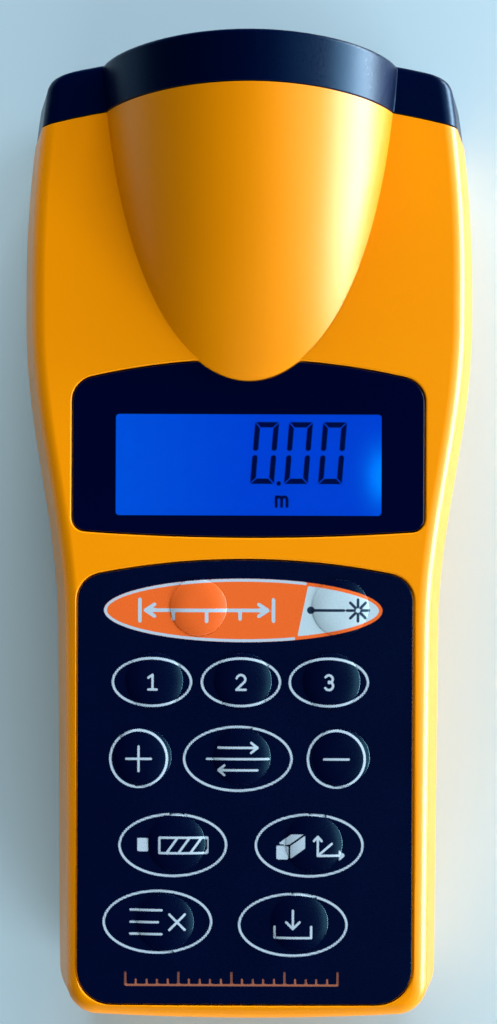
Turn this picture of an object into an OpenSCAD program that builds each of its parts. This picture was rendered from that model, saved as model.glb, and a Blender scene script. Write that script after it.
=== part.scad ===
// Handheld ultrasonic distance meter: two-part case, sensor nose, display, keypad and battery bay.
// It lies on its flat back: +Y to the sensor end, +Z out of the face, origin under the middle.

/* [Case] */
// Length from the heel to the front of the nose
case_l = 139.6; // [138:0.2:147]
// Width across the head
head_w = 66.2; // [64:0.1:72]
// Width across the grip
grip_w = 56.4; // [55.6:0.2:60]
// Height of the flat face above the back
face_z = 30; // [30:0.5:34]
// Height of the seam between the two shells
seam_z = 14; // [12:0.5:16]
// Wall thickness of the case
wall = 2.4; // [2:0.1:2.6]
// Rounding along the edge of the face
face_round = 2.2; // [1.6:0.1:2.6]
// Rounding along the edge of the back
back_round = 4; // [3:0.1:4.5]
// Rounding inside the case edges
inner_round = 1.2; // [0.8:0.1:1.6]
// Draft of the side walls in degrees
draft = 8.3; // [7.5:0.1:9]
// Height of the lip that joins the shells
lip_h = 1.2; // [0.8:0.1:1.6]
// Gap round that lip
lip_gap = 0.1; // [0.05:0.05:0.2]
// Corner radius of the heel in plan
heel_round = 6.5; // [6:0.1:9]
// Radius of the bowed heel edge in plan
heel_bow_r = 400; // [300:10:900]
// Distance from the nose to the widest place
crown_back = 32.2; // [30:0.2:36]
// Distance from the nose to the end of the shoulder curve
shoulder_back = 37.2; // [36.2:0.2:40]
// Distance from the nose to the start of the grip
waist_back = 83.2; // [78:0.2:88]
// Narrowing of the grip per millimetre towards the heel
grip_taper = 0.009; // [0:0.001:0.015]
// Radius of the head sides in plan
side_r = 175; // [140:5:220]

/* [Nose] */
// Radius of the round nose tube
dome_r = 21.5; // [20.5:0.1:23]
// Rise of the nose over the face at the front
dome_h = 18; // [16:0.5:20]
// Distance from the front to the tip of the nose
dome_l = 46.4; // [45:0.2:47.4]
// Radius of the line along the top of the nose
dome_line_r = 300; // [200:10:500]
// Radius of the bowed front in plan
nose_arc_r = 118; // [100:2:160]
// Length of the front cap
cap_l = 6.8; // [6:0.2:9]
// Corner radius of the cap in plan
cap_round = 3; // [2:0.2:5]
// Thickness of the front plate of the cap
cap_plate = 2; // [1.6:0.1:2.4]
// Gap of the seam between cap and shells
cap_gap = 0.1; // [0.05:0.05:0.3]
// Width of the cap's holding tabs
tab_w = 7; // [5:0.5:9]
// Reach of the cap's holding tabs into the shells
tab_l = 5; // [3:0.5:7]
// Thickness of the cap's holding tabs
tab_t = 1.4; // [1:0.1:2]

/* [Horn and transducer] */
// Height of the horn's axis
horn_z = 23.5; // [23:0.1:24]
// Mouth radius of the horn
horn_r = 17.6; // [16:0.2:18]
// Throat radius of the horn
throat_r = 7.4; // [6:0.2:7.6]
// Length of the horn from mouth to throat
horn_l = 16; // [14:0.5:17]
// Wall of the horn
horn_wall = 1.2; // [1:0.1:1.4]
// Radius of the transducer can
can_r = 8; // [7.8:0.1:8.2]
// Length of the transducer can
can_l = 10; // [8:0.5:10.5]
// Wall of the transducer can
can_wall = 0.6; // [0.4:0.1:0.8]
// Rubber between can and horn
boot_wall = 1.2; // [1:0.1:1.4]
// Hole radius in the transducer grille
grille_hole_r = 0.5; // [0.4:0.05:0.6]
// Hole spacing in the transducer grille
grille_pitch = 1.9; // [1.7:0.1:2.1]

/* [Laser pointer] */
// Distance of the laser from the side of the head
laser_side = 11; // [10:0.2:12]
// Height of the laser's axis
laser_z = 11; // [10:0.2:12]
// Radius of the laser barrel
laser_r = 3.25; // [2.8:0.05:3.4]
// Length of the laser barrel
laser_l = 16; // [14:0.5:17]
// Radius of the laser opening in the cap
laser_hole_r = 1.8; // [1.4:0.1:2]

/* [Display] */
// Width of the display lens
lens_w = 50; // [48:0.5:52]
// Distance from the nose to the lens top
lens_back = 43.7; // [43:0.1:45]
// Length of the lens along the case
lens_l = 25.1; // [24.4:0.1:25.4]
// Thickness of the lens
lens_t = 1.4; // [1:0.1:1.6]
// Radius of the bowed lens top
lens_top_r = 100; // [80:5:160]
// Radius of the bowed lens bottom
lens_low_r = 330; // [200:10:600]
// Top corner radius of the lens
lens_top_round = 3.5; // [2:0.1:5]
// Bottom corner radius of the lens
lens_low_round = 1.8; // [1:0.1:3]
// Gap round the lens
lens_gap = 0.2; // [0.1:0.05:0.3]
// Gap between the lens and the tip of the nose
notch_gap = 0.3; // [0.2:0.05:0.4]
// Width of the LCD's visible field
view_w = 37.8; // [36:0.2:39]
// Height of the LCD's visible field
view_h = 14.4; // [13:0.2:15]
// Distance from the nose to the middle of the field
view_back = 58.6; // [58.4:0.1:59]
// Thickness of the LCD glass
glass_t = 1.8; // [1.4:0.1:2]
// Glass edge beyond the visible field
glass_rim = 2.3; // [2:0.1:2.5]
// Wall of the LCD frame
lcd_frame_t = 1.1; // [0.8:0.1:1.2]

/* [Keypad] */
// Width of the keypad film
film_w = 47.6; // [46:0.2:48]
// Sideways place of the keypad
film_x = -0.3; // [-0.5:0.1:0.5]
// Distance from the lens to the film
film_gap_y = 3.4; // [3:0.1:4.5]
// Distance from the film to the heel
film_heel = 4.3; // [4.1:0.1:6]
// Thickness of the keypad film
film_t = 0.5; // [0.3:0.1:0.8]
// Gap round the film
film_gap = 0.25; // [0.15:0.05:0.4]
// Radius of the bowed film top
film_top_r = 107; // [80:1:160]
// Top corner radius of the film
film_top_round = 3.8; // [2:0.1:6]
// Bottom corner radius of the film
film_low_round = 5; // [3:0.1:7]
// Diameter of a key as a share of the memory row's spacing
key_share = 0.773; // [0.71:0.001:0.8]
// Rise of a key over the film
key_rise = 0.7; // [0.5:0.1:1]
// Travel of a key
key_travel = 0.6; // [0.4:0.1:0.7]
// Gap round a key
key_gap = 0.15; // [0.1:0.05:0.2]
// Width of the collar that holds a key in
key_collar = 0.7; // [0.5:0.1:0.9]
// Thickness of that collar
key_collar_t = 1; // [0.8:0.1:1.2]
// Distance from the film's top to the first row as a share of the film's length
row_1 = 0.106; // [0.103:0.001:0.111]
// Spacing of the memory row as a share of the film's length
row_2 = 0.166; // [0.163:0.001:0.174]
// Spacing of the plus and minus row as a share of the film's length
row_3 = 0.171; // [0.165:0.001:0.177]
// Spacing of the area row as a share of the film's length
row_4 = 0.195; // [0.182:0.001:0.198]
// Spacing of the store row as a share of the film's length
row_5 = 0.178; // [0.168:0.001:0.18]
// Sideways place of the measure key on the film
measure_x = -6.8; // [-7.2:0.1:-6]
// Sideways place of the laser key on the film
laser_key_x = 13.4; // [13:0.1:13.6]
// Spacing of the memory keys
memory_pitch = 12.6; // [12:0.1:13]
// Sideways place of the memory keys
memory_x = -0.4; // [-0.8:0.1:0.4]
// Spacing of the plus, units and minus keys
sign_pitch = 14.1; // [13:0.1:14.2]
// Sideways place of the plus, units and minus keys
sign_x = -0.5; // [-0.6:0.1:0.4]
// Spacing of the area and volume keys
shape_pitch = 19.5; // [18:0.5:21]
// Spacing of the clear and store keys
store_pitch = 19.1; // [18:0.1:20]
// Sideways place of the clear and store keys
store_x = -1.8; // [-2.4:0.1:0]

/* [Board] */
// Distance from the inner face to the board
board_drop = 3.8; // [3.6:0.1:4]
// Thickness of the board
board_t = 1.6; // [1.2:0.2:1.6]
// Width of the board
board_w = 39; // [38.5:0.5:40]
// Distance from the nose to the board's edge
board_back = 39.2; // [39:0.2:41]
// Thickness of the key mat's sheet
mat_t = 1; // [0.8:0.1:1.2]
// Edge of the key mat's rubber domes beyond a key
mat_dome_rim = 0.15; // [0.05:0.05:0.2]
// Distance of the board screws from the middle
board_screw_x = 16.2; // [15.8:0.1:16.4]
// Radius of the board screws' shank
board_screw_r = 0.9; // [0.8:0.05:1]

/* [Battery bay] */
// Width of the block battery
battery_w = 26.5; // [26:0.1:27]
// Thickness of the block battery
battery_t = 17.5; // [17:0.1:17.6]
// Length of the block battery without terminals
battery_l = 46.4; // [46:0.1:47]
// Room round the battery
battery_gap = 0.3; // [0.2:0.05:0.35]
// Thickness of the battery snap
snap_t = 5.5; // [5:0.1:6]
// Wall of the battery bay
bay_wall = 1.2; // [1:0.1:1.4]
// Thickness of the door's outer lip
door_lip = 1; // [0.8:0.1:1.1]
// Thickness of the door's side tongues
tongue_t = 0.9; // [0.7:0.1:1]
// Width of the door's side tongues
tongue_w = 1; // [0.8:0.1:1.2]
// Running gap of the door
door_gap = 0.15; // [0.1:0.05:0.25]

/* [Screws] */
// Distance of the grip screws from the side of the grip
grip_screw_side = 8.7; // [8.4:0.1:8.9]
// Distance of the grip screws from the heel
grip_screw_up = 7.9; // [7.7:0.1:8.2]
// Distance of the head screws from the side of the head
head_screw_side = 8.5; // [8:0.1:9]
// Distance of the head screws from the nose
head_screw_back = 30.2; // [30:0.2:34]
// Radius of the screw shanks
screw_r = 1.3; // [1.1:0.05:1.5]
// Radius of the screw heads
screw_head_r = 2.7; // [2.4:0.1:2.8]
// Thickness of the screw heads
screw_head_t = 1.8; // [1.4:0.1:2.2]
// Depth of the screw seats in the back
screw_seat = 7; // [5:0.5:9]
// Wall of the screw bosses
boss_wall = 1.8; // [1.6:0.1:2]

/* [Hidden] */
KEYS = [
    ["measure_key", measure_x, 0],
    ["laser_key", laser_key_x, 0],
    ["memory_1_key", memory_x - memory_pitch, 1],
    ["memory_2_key", memory_x, 1],
    ["memory_3_key", memory_x + memory_pitch, 1],
    ["plus_key", sign_x - sign_pitch, 2],
    ["units_key", sign_x, 2],
    ["minus_key", sign_x + sign_pitch, 2],
    ["area_key", -shape_pitch / 2, 3],
    ["volume_key", shape_pitch / 2, 3],
    ["clear_key", store_x - store_pitch / 2, 4],
    ["store_key", store_x + store_pitch / 2, 4]
];
$fn = 64;
eps = 0.02;
fit = 0.05;

// Places along the case
nose_y = case_l / 2;
heel_y = -case_l / 2;
crown_y = nose_y - crown_back;
shoulder_y = nose_y - shoulder_back;
waist_y = nose_y - waist_back;
reach_y = nose_y + 2;
lens_top_y = nose_y - lens_back;
lens_low_y = lens_top_y - lens_l;
view_y = nose_y - view_back;
film_top_y = lens_low_y - film_gap_y;
film_low_y = heel_y + film_heel;
film_l = film_top_y - film_low_y;
key_d = key_share * row_2 * film_l;
mat_dome_r = key_d / 2 + mat_dome_rim;
laser_x = head_w / 2 - laser_side;
board_top_y = nose_y - board_back;

// Heights in the stack under the face
inner_z = face_z - wall;
board_z = inner_z - board_drop;
board_low_z = board_z - board_t;
film_z = face_z - 0.1;
film_floor_z = film_z - film_t;
glass_low_z = inner_z - 0.1 - glass_t;

// Side walls lean in by this much up to the start of the edge rounding
face_in = (face_z - face_round - seam_z) * tan(draft);
back_in = (seam_z - back_round) * tan(draft);

// Points on an arc, without its first point when skip is 1
function arc(c, r, a0, a1, n, skip = 0) =
    [for (i = [skip:n]) let (a = a0 + (a1 - a0) * i / n) c + r * [cos(a), sin(a)]];

// A right-hand half outline closed by its mirror image, both ends lying on the middle line
function closed(right) =
    concat(right, [for (i = [len(right) - 2:-1:1]) [-right[i].x, right[i].y]]);

// Half width of the case at the seam
function half_w(y) =
    y > crown_y ? head_w / 2 - side_r + sqrt(side_r * side_r - pow(y - crown_y, 2))
    : y > shoulder_y ? head_w / 2
    : y > waist_y ? grip_w / 2 + (head_w - grip_w) / 4
        * (1 - cos(180 * (y - waist_y) / (shoulder_y - waist_y)))
    : grip_w / 2 - (waist_y - y) * grip_taper;

// How far the bowed front falls back at a distance from the middle
function sag(x) = nose_arc_r - sqrt(nose_arc_r * nose_arc_r - x * x);

heel_cx = half_w(heel_y + heel_round) - heel_round;
function heel_bow(x) = x * x / (2 * heel_bow_r);
heel_cy = heel_y + heel_bow(heel_cx) + heel_round;

// Outline of the case set in by d, running past the nose, as one half
function case_half(d) = concat(
    [for (i = [0:3]) let (x = heel_cx * i / 3) [x, heel_y + heel_bow(x) + d]],
    arc([heel_cx, heel_cy], heel_round - d, -90, 0, 7, 1),
    [for (i = [0:12]) let (y = waist_y + (shoulder_y - waist_y) * i / 12) [half_w(y) - d, y]],
    [for (i = [0:7]) let (y = crown_y + (reach_y - crown_y) * i / 7) [half_w(y) - d, y]],
    [[0, reach_y]]
);

// The front end of the same outline, starting behind the tip of the nose, as one half
nose_start_y = nose_y - dome_l - 10;
function nose_half(d) = concat(
    [[0, nose_start_y], [head_w / 2 - d, nose_start_y]],
    [for (i = [0:7]) let (y = crown_y + (reach_y - crown_y) * i / 7) [half_w(y) - d, y]],
    [[0, reach_y]]
);

// Edge profiles as pairs of inset and height, from below upwards
function face_edge(d, z, r, n) =
    [for (i = [0:n]) let (a = 90 * i / n) [d + r * (1 - cos(a)), z - r + r * sin(a)]];
function back_edge(d, z, r, n) =
    [for (i = [0:n]) let (a = 90 * i / n) [d + r * (1 - sin(a)), z + r - r * cos(a)]];
front_out = concat([[0, seam_z]], face_edge(face_in, face_z, face_round, 6));
front_in = concat(
    [[wall, seam_z - 1]],
    face_edge(wall + face_in, inner_z, inner_round, 3)
);
rear_out = concat(back_edge(back_in, 0, back_round, 6), [[0, seam_z]]);
rear_in = concat(back_edge(wall + back_in, wall, inner_round, 3), [[wall, seam_z + lip_h + 1]]);
lip_out = [for (z = [seam_z - 1, seam_z + lip_h]) [wall / 2 + lip_gap, z]];
lip_slot = [for (z = [seam_z - 1, seam_z + lip_h + lip_gap]) [wall / 2, z]];
nose_out = concat(rear_out, [for (i = [1:len(front_out) - 1]) front_out[i]]);
nose_in = concat(
    back_edge(wall + back_in, wall, inner_round, 3),
    [[wall, seam_z]],
    face_edge(wall + face_in, inner_z, inner_round, 3)
);

// Solid skinned over stacked outlines: rings holds one closed outline per height
module skin(rings) {
    n = len(rings[0]);
    m = len(rings);
    points = [for (ring = rings) each ring];
    sides = [for (j = [0:m - 2]) for (i = [0:n - 1])
        let (a = j * n + i, b = j * n + (i + 1) % n) [a, a + n, b + n, b]];
    low = [for (i = [0:n - 1]) i];
    top = [for (i = [n - 1:-1:0]) (m - 1) * n + i];
    polyhedron(points, concat(sides, [low, top]));
}

module case_skin(profile)
    skin([for (s = profile) [for (p = closed(case_half(s[0]))) [p.x, p.y, s[1]]]]);

module nose_skin(profile)
    skin([for (s = profile) [for (p = closed(nose_half(s[0]))) [p.x, p.y, s[1]]]]);

// Everything behind a front arc that lies this far back from the nose
module behind(back)
    translate([0, nose_y - back - nose_arc_r, -1])
        cylinder(r = nose_arc_r, h = face_z + dome_h + 2, $fn = 180);

// Round nose tube: its top line is an arc from the tip on the face up to the front
dome_tip = [nose_y - dome_l, face_z];
dome_chord = [dome_l, dome_h];
dome_mid = dome_tip + dome_chord / 2;
dome_up = [-dome_h, dome_l] / norm(dome_chord);
dome_c = dome_mid - dome_up * sqrt(pow(dome_line_r, 2) - pow(norm(dome_chord) / 2, 2));

module dome(r, low_z)
    intersection() {
        translate([0, dome_c.x, dome_c.y])
            rotate([0, 90, 0])
                rotate_extrude($fn = 360)
                    translate([dome_line_r - dome_r, 0])
                        circle(r = r);
        translate([-dome_r - 1, dome_tip.x - 8, low_z])
            cube([2 * dome_r + 2, dome_l + 12, face_z + dome_h + 4 - low_z]);
    }

// Panel with bowed top and bottom edges and round corners
function panel(w, low, top, low_r, top_r, low_c, top_c) =
    let (
        tx = w / 2 - top_c,
        th = sqrt(pow(top_r - top_c, 2) - tx * tx),
        ta = atan2(th, tx),
        bx = w / 2 - low_c,
        bh = sqrt(pow(low_r - low_c, 2) - bx * bx),
        ba = atan2(bh, bx)
    )
    closed(concat(
        arc([0, low + low_r], low_r, -90, -ba, 4),
        arc([bx, low + low_r - bh], low_c, -ba, 0, 6, 1),
        arc([tx, top - top_r + th], top_c, 0, ta, 6),
        [for (p = arc([0, top - top_r], top_r, ta, 89.999, 6, 1)) p.x < 0.01 ? [0, p.y] : p]
    ));

function lens_plan(g) = panel(
    lens_w + 2 * g, lens_low_y - g, lens_top_y + g,
    lens_low_r + g, lens_top_r + g, lens_low_round + g, lens_top_round + g
);
film_low_r = 3000;
function film_plan(g) = panel(
    film_w + 2 * g, film_low_y - g, film_top_y + g,
    film_low_r + g, film_top_r + g, film_low_round + g, film_top_round + g
);

// Rounded rectangle in plan
function round_rect(w, h, r) = closed(concat(
    [[0, -h / 2]],
    arc([w / 2 - r, r - h / 2], r, -90, 0, 4),
    arc([w / 2 - r, h / 2 - r], r, 0, 90, 4),
    [[0, h / 2]]
));

module plate(plan, z0, z1)
    translate([0, 0, z0])
        linear_extrude(z1 - z0)
            polygon(plan);

// Round bar along +Y from a start point
module y_bar(p, r, l)
    translate(p)
        rotate([-90, 0, 0])
            cylinder(r = r, h = l);

// Keys: rows measured down from the film's top
rows = film_l * [
    row_1,
    row_1 + row_2,
    row_1 + row_2 + row_3,
    row_1 + row_2 + row_3 + row_4,
    row_1 + row_2 + row_3 + row_4 + row_5
];
function key_at(k) = [film_x + k[1], film_top_y - rows[k[2]]];
key_low_z = inner_z - key_gap - key_collar_t;
key_low_y = film_top_y - rows[4];

// Screw places
screw_at = [for (s = [-1, 1]) each [
    [s * (grip_w / 2 - grip_screw_side), heel_y + grip_screw_up],
    [s * (head_w / 2 - head_screw_side), nose_y - head_screw_back]
]];
board_screw_low_y = (film_top_y - rows[0] + key_d / 2 + lens_low_y) / 2;
board_screw_top_y = board_top_y - 3.4;
board_screw_at = [for (s = [-1, 1]) each [
    [s * board_screw_x, board_screw_low_y],
    [s * board_screw_x, board_screw_top_y]
]];
boss_r = screw_r + boss_wall;
seat_r = screw_head_r + 1.1;
post_r = 2;

// Battery bay
bay_y = heel_y + wall + face_in + 0.4 + bay_wall;
battery_y = bay_y + battery_gap;
snap_y = battery_y + battery_l + fit;
bay_end_y = snap_y + snap_t + battery_gap;
bay_hw = battery_w / 2 + battery_gap;
door_hw = bay_hw + 0.9;
door_t = door_lip + fit + tongue_t;
battery_z = door_t + battery_gap;
bay_top_z = battery_z + battery_t + battery_gap;
rail_t = 2;

// Horn and transducer
horn_rim = 1;
horn_y = nose_y - cap_plate - sag(horn_r + horn_rim) - fit;
throat_y = horn_y - horn_l;
sleeve_r = can_r + boot_wall + fit;
can_y = throat_y - 0.3 - can_l;
base_t = 2;

// Laser
laser_front_y = nose_y - cap_plate - sag(laser_x + laser_r) - 0.3;
laser_y = laser_front_y - laser_l;
cradle_t = 1.6;
cradle_y = nose_y - cap_l - sag(laser_x + laser_r + 1) - cradle_t - 0.4;

// Yellow front moulding with the nose, panel recesses, key holes, bosses and posts
module front_shell()
    color([0.95, 0.62, 0.05]) {
        difference() {
            intersection() {
                union() {
                    difference() {
                        case_skin(front_out);
                        plate(lens_plan(lens_gap), face_z - lens_t - fit, face_z + 1);
                        translate([film_x, 0, 0])
                            plate(film_plan(film_gap), film_floor_z, face_z + 1);
                    }
                    dome(dome_r, inner_z - 0.5);
                }
                behind(cap_l);
            }
            case_skin(front_in);
            case_skin(lip_slot);
            dome(dome_r - wall, inner_z - 6);
            translate([-view_w / 2 - 0.6, view_y - view_h / 2 - 0.6, inner_z - 1])
                cube([view_w + 1.2, view_h + 1.2, wall + 2]);
            for (k = KEYS)
                translate([key_at(k).x, key_at(k).y, inner_z - 1])
                    cylinder(d = key_d + 2 * key_gap, h = wall + 2);
        }
        for (p = screw_at)
            translate([p.x, p.y, seam_z + 0.1])
                difference() {
                    cylinder(r = boss_r, h = inner_z - seam_z + 0.3);
                    translate([0, 0, -1])
                        cylinder(r = screw_r + fit, h = inner_z - seam_z - 2);
                }
        for (p = board_screw_at)
            translate([p.x, p.y, board_z])
                difference() {
                    cylinder(r = post_r, h = board_drop + 0.3);
                    translate([0, 0, -1])
                        cylinder(r = board_screw_r + fit, h = board_drop + 0.2);
                }
    }

// Rear moulding with the joining lip, battery bay, door slot, screw seats and laser cradle
module rear_shell()
    color([0.93, 0.6, 0.05])
        difference() {
            union() {
                difference() {
                    intersection() {
                        union() {
                            case_skin(rear_out);
                            case_skin(lip_out);
                        }
                        behind(cap_l);
                    }
                    case_skin(rear_in);
                }
                translate([-bay_hw - bay_wall, bay_y - bay_wall, wall / 2])
                    cube([
                        2 * (bay_hw + bay_wall),
                        bay_end_y - bay_y + 2 * bay_wall,
                        bay_top_z + bay_wall - wall / 2
                    ]);
                translate([-door_hw - tongue_w - 0.7, bay_y - bay_wall, wall / 2])
                    cube([
                        2 * (door_hw + tongue_w + 0.7),
                        bay_end_y - bay_y + 2 * bay_wall,
                        door_t + rail_t - wall / 2
                    ]);
                for (p = screw_at)
                    translate([p.x, p.y, wall / 2])
                        cylinder(r = seat_r, h = seam_z - wall / 2);
                for (y = [laser_y + 2, cradle_y])
                    translate([laser_x - laser_r - 1, y, wall / 2])
                        cube([2 * laser_r + 2, cradle_t, laser_z - wall / 2]);
            }
            translate([-bay_hw, bay_y, -1])
                cube([2 * bay_hw, bay_end_y - bay_y, bay_top_z + 1]);
            translate([-door_hw - door_gap, heel_y - 1, -1])
                cube([2 * (door_hw + door_gap), bay_end_y - heel_y + 1, door_lip + 2]);
            translate([-door_hw - tongue_w - door_gap, heel_y - 1, door_lip])
                cube([
                    2 * (door_hw + tongue_w + door_gap),
                    bay_end_y - heel_y + 1,
                    door_t + 0.1 - door_lip
                ]);
            for (p = screw_at)
                translate([p.x, p.y, -1]) {
                    cylinder(r = screw_head_r + 0.3, h = screw_seat + 1);
                    cylinder(r = screw_r + 0.3, h = seam_z + 2);
                }
            y_bar([laser_x, laser_y - 1, laser_z], laser_r + fit, laser_l + 2);
            y_bar([0, bay_end_y - 1, battery_z + battery_t / 2 + 2], 2.6, bay_wall + 2);
        }

// Plan of what the round corner of the cap leaves off, from the side to the bowed front
cap_a = [0, nose_y - nose_arc_r];
cap_b = [head_w / 2 - side_r, crown_y];
cap_ra = nose_arc_r - cap_round;
cap_rb = side_r - cap_round;
cap_d = norm(cap_b - cap_a);
cap_u = (cap_b - cap_a) / cap_d;
cap_s = (cap_ra * cap_ra - cap_rb * cap_rb + cap_d * cap_d) / (2 * cap_d);
cap_c = cap_a + cap_s * cap_u + sqrt(cap_ra * cap_ra - cap_s * cap_s) * [cap_u.y, -cap_u.x];
cap_a0 = atan2(cap_c.y - cap_b.y, cap_c.x - cap_b.x);
cap_a1 = atan2(cap_c.y - cap_a.y, cap_c.x - cap_a.x);
cap_corner = concat(
    arc(cap_c + fit * [1, 1], cap_round, cap_a0, cap_a1, 8),
    [[cap_c.x - 2, reach_y + 1], [head_w / 2 + 2, reach_y + 1], [head_w / 2 + 2, cap_c.y - 2]]
);

// Black end piece: skirt, front plate with the round mouth, laser collar and holding tabs
ring_back = 0.8;
collar_wall = 1.3;
collar_l = 4;
low_tab_x = 9;
high_tab_side = 10.1;
high_tab_x = head_w / 2 - high_tab_side;
module front_cap()
    color([0.06, 0.06, 0.07]) {
        difference() {
            union() {
                difference() {
                    intersection() {
                        union() {
                            nose_skin(nose_out);
                            dome(dome_r, inner_z - 0.5);
                        }
                        behind(0);
                    }
                    for (s = [-1, 1])
                        scale([s, 1, 1])
                            plate(cap_corner, -1, face_z + dome_h + 1);
                    behind(cap_l - cap_gap);
                    intersection() {
                        nose_skin(nose_in);
                        behind(cap_plate);
                    }
                    intersection() {
                        dome(dome_r - wall, inner_z - 6);
                        behind(cap_plate);
                    }
                }
                y_bar([0, horn_y + fit, horn_z], horn_r + horn_rim, nose_y - ring_back - horn_y - sag(horn_r));
                y_bar(
                    [laser_x, laser_front_y - collar_l, laser_z],
                    laser_r + collar_wall,
                    collar_l + cap_plate / 2 + sag(laser_r)
                );
            }
            y_bar([0, horn_y - 1, horn_z], horn_r, 3 * cap_plate + 1);
            y_bar([laser_x, laser_front_y - collar_l - 1, laser_z], laser_r + fit, collar_l + 1 + fit);
            y_bar([laser_x, laser_front_y - collar_l, laser_z], laser_hole_r, collar_l + 3 * cap_plate);
        }
        for (s = [-1, 1]) {
            cap_tab([s * low_tab_x, wall, 1]);
            cap_tab([s * high_tab_x, inner_z, -1]);
        }
    }

// Holding tab at a place across the cap: v holds x, the wall's inner height and the way inwards
module cap_tab(v) {
    y = nose_y - cap_l - sag(abs(v.x) + tab_w / 2);
    low = v.z > 0 ? v.y - 0.4 : v.y + 0.4 - tab_t - 0.4;
    run = v.z > 0 ? v.y + 0.15 : v.y - 0.15 - tab_t + 0.15;
    translate([v.x - tab_w / 2, y + 2.4 + cap_gap, low])
        cube([tab_w, cap_l - cap_plate - 2.6, tab_t + 0.4]);
    translate([v.x - tab_w / 2, y - tab_l, run])
        cube([tab_w, tab_l + 3.4, tab_t - 0.15]);
}

// Sound horn: flared funnel, flange behind the cap and sleeve for the transducer
horn_n = 8;
function flare(t) = throat_r * pow(horn_r / throat_r, t);
module horn()
    color([0.07, 0.07, 0.08])
        translate([0, horn_y, horn_z])
            rotate([-90, 0, 0])
                rotate_extrude($fn = 96)
                    polygon(concat(
                        [for (i = [0:horn_n]) let (t = 1 - i / horn_n) [flare(t), (t - 1) * horn_l]],
                        [
                            [sleeve_r, -horn_l],
                            [sleeve_r, -horn_l - can_l],
                            [sleeve_r + horn_wall, -horn_l - can_l],
                            [sleeve_r + horn_wall, -horn_l + 1]
                        ],
                        [for (i = [3:horn_n - 1]) let (t = i / horn_n)
                            [max(flare(t) + horn_wall, sleeve_r + horn_wall), (t - 1) * horn_l]],
                        [[horn_r + horn_rim, -1.2], [horn_r + horn_rim, 0]]
                    ));

// Transducer: open can, perforated grille in its mouth, resin base and rubber boot
module transducer_can()
    color([0.75, 0.76, 0.78])
        translate([0, can_y, horn_z])
            rotate([-90, 0, 0])
                difference() {
                    cylinder(r = can_r, h = can_l);
                    translate([0, 0, -1])
                        cylinder(r = can_r - can_wall, h = can_l + 2);
                }

grille_t = 0.5;
module transducer_grille()
    color([0.55, 0.56, 0.58])
        translate([0, can_y + can_l - grille_t - 0.4, horn_z])
            rotate([-90, 0, 0])
                difference() {
                    cylinder(r = can_r - can_wall, h = grille_t);
                    for (ring = [0:3])
                        for (i = [0:max(1, 6 * ring) - 1])
                            rotate(ring == 0 ? 0 : 60 * i / ring)
                                translate([ring * grille_pitch, 0, -1])
                                    cylinder(r = grille_hole_r, h = 2, $fn = 16);
                }

pin_x = 2.5;
pin_l = 3;
module transducer_base()
    color([0.12, 0.12, 0.13]) {
        y_bar([0, can_y, horn_z], can_r - can_wall, base_t);
        for (s = [-1, 1])
            y_bar([s * pin_x, can_y - pin_l, horn_z], 0.5, pin_l + 1);
    }

module transducer_boot()
    color([0.1, 0.1, 0.1])
        translate([0, can_y + 0.3, horn_z])
            rotate([-90, 0, 0])
                difference() {
                    cylinder(r = can_r + boot_wall, h = can_l - 0.6);
                    translate([0, 0, -1])
                        cylinder(r = can_r, h = can_l + 2);
                }

// Wire along a smooth curve with four control points
lead_r = 0.6;
lead_n = 10;
function bezier(p, t) =
    pow(1 - t, 3) * p[0] + 3 * t * pow(1 - t, 2) * p[1] + 3 * t * t * (1 - t) * p[2] + pow(t, 3) * p[3];
function slope(p, t) =
    pow(1 - t, 2) * (p[1] - p[0]) + 2 * t * (1 - t) * (p[2] - p[1]) + t * t * (p[3] - p[2]);
function unit(v) = v / norm(v);
module lead(p)
    skin([for (i = [0:lead_n])
        let (
            t = i / lead_n,
            d = unit(slope(p, t)),
            u = unit(cross(d, [1, 0, 0])),
            v = cross(d, u)
        )
        [for (a = [0:45:315]) bezier(p, t) + lead_r * (u * cos(a) + v * sin(a))]]);

module transducer_leads()
    color([0.8, 0.1, 0.1])
        for (s = [-1, 1])
            lead([
                [s * pin_x, can_y - pin_l - fit, horn_z],
                [s * pin_x, can_y - pin_l - 3, horn_z],
                [s * 3.5, board_top_y - 2, board_z + 6],
                [s * 3.5, board_top_y - 2, board_z + fit]
            ]);

// Laser: brass barrel with a lens in its front bore
laser_bore = 2.2;
laser_bore_l = 1.6;
module laser_barrel()
    color([0.75, 0.6, 0.3])
        difference() {
            y_bar([laser_x, laser_y, laser_z], laser_r, laser_l);
            y_bar([laser_x, laser_front_y - laser_bore_l, laser_z], laser_bore, laser_bore_l + 1);
        }

module laser_lens()
    color([0.7, 0.8, 0.85])
        y_bar([laser_x, laser_front_y - laser_bore_l, laser_z], laser_bore - fit, 1);

lead_in = 1.5;
lead_gap = 0.9;
lead_end_x = board_w / 2 - 5;
lead_end_y = board_top_y - 8;
module laser_leads()
    color([0.1, 0.1, 0.7])
        for (g = [-lead_gap, lead_gap])
            lead([
                [laser_x - lead_in, laser_y - fit, laser_z + g],
                [laser_x - lead_in, laser_y - 3, laser_z + g],
                [lead_end_x, lead_end_y + g, laser_z + g],
                [lead_end_x, lead_end_y + g, board_low_z - fit]
            ]);

// Display window, notched round the tip of the nose
module display_lens()
    color([0.05, 0.05, 0.07])
        difference() {
            plate(lens_plan(0), face_z - fit - lens_t, face_z - fit);
            dome(dome_r + notch_gap, inner_z - 6);
        }

glass_w = view_w + 2 * glass_rim;
glass_h = view_h + 2 * glass_rim + 1;
glass_y = view_y + 0.5;
module lcd_glass()
    color([0.3, 0.45, 0.9])
        translate([-glass_w / 2, glass_y - glass_h / 2, glass_low_z])
            cube([glass_w, glass_h, glass_t]);

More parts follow.
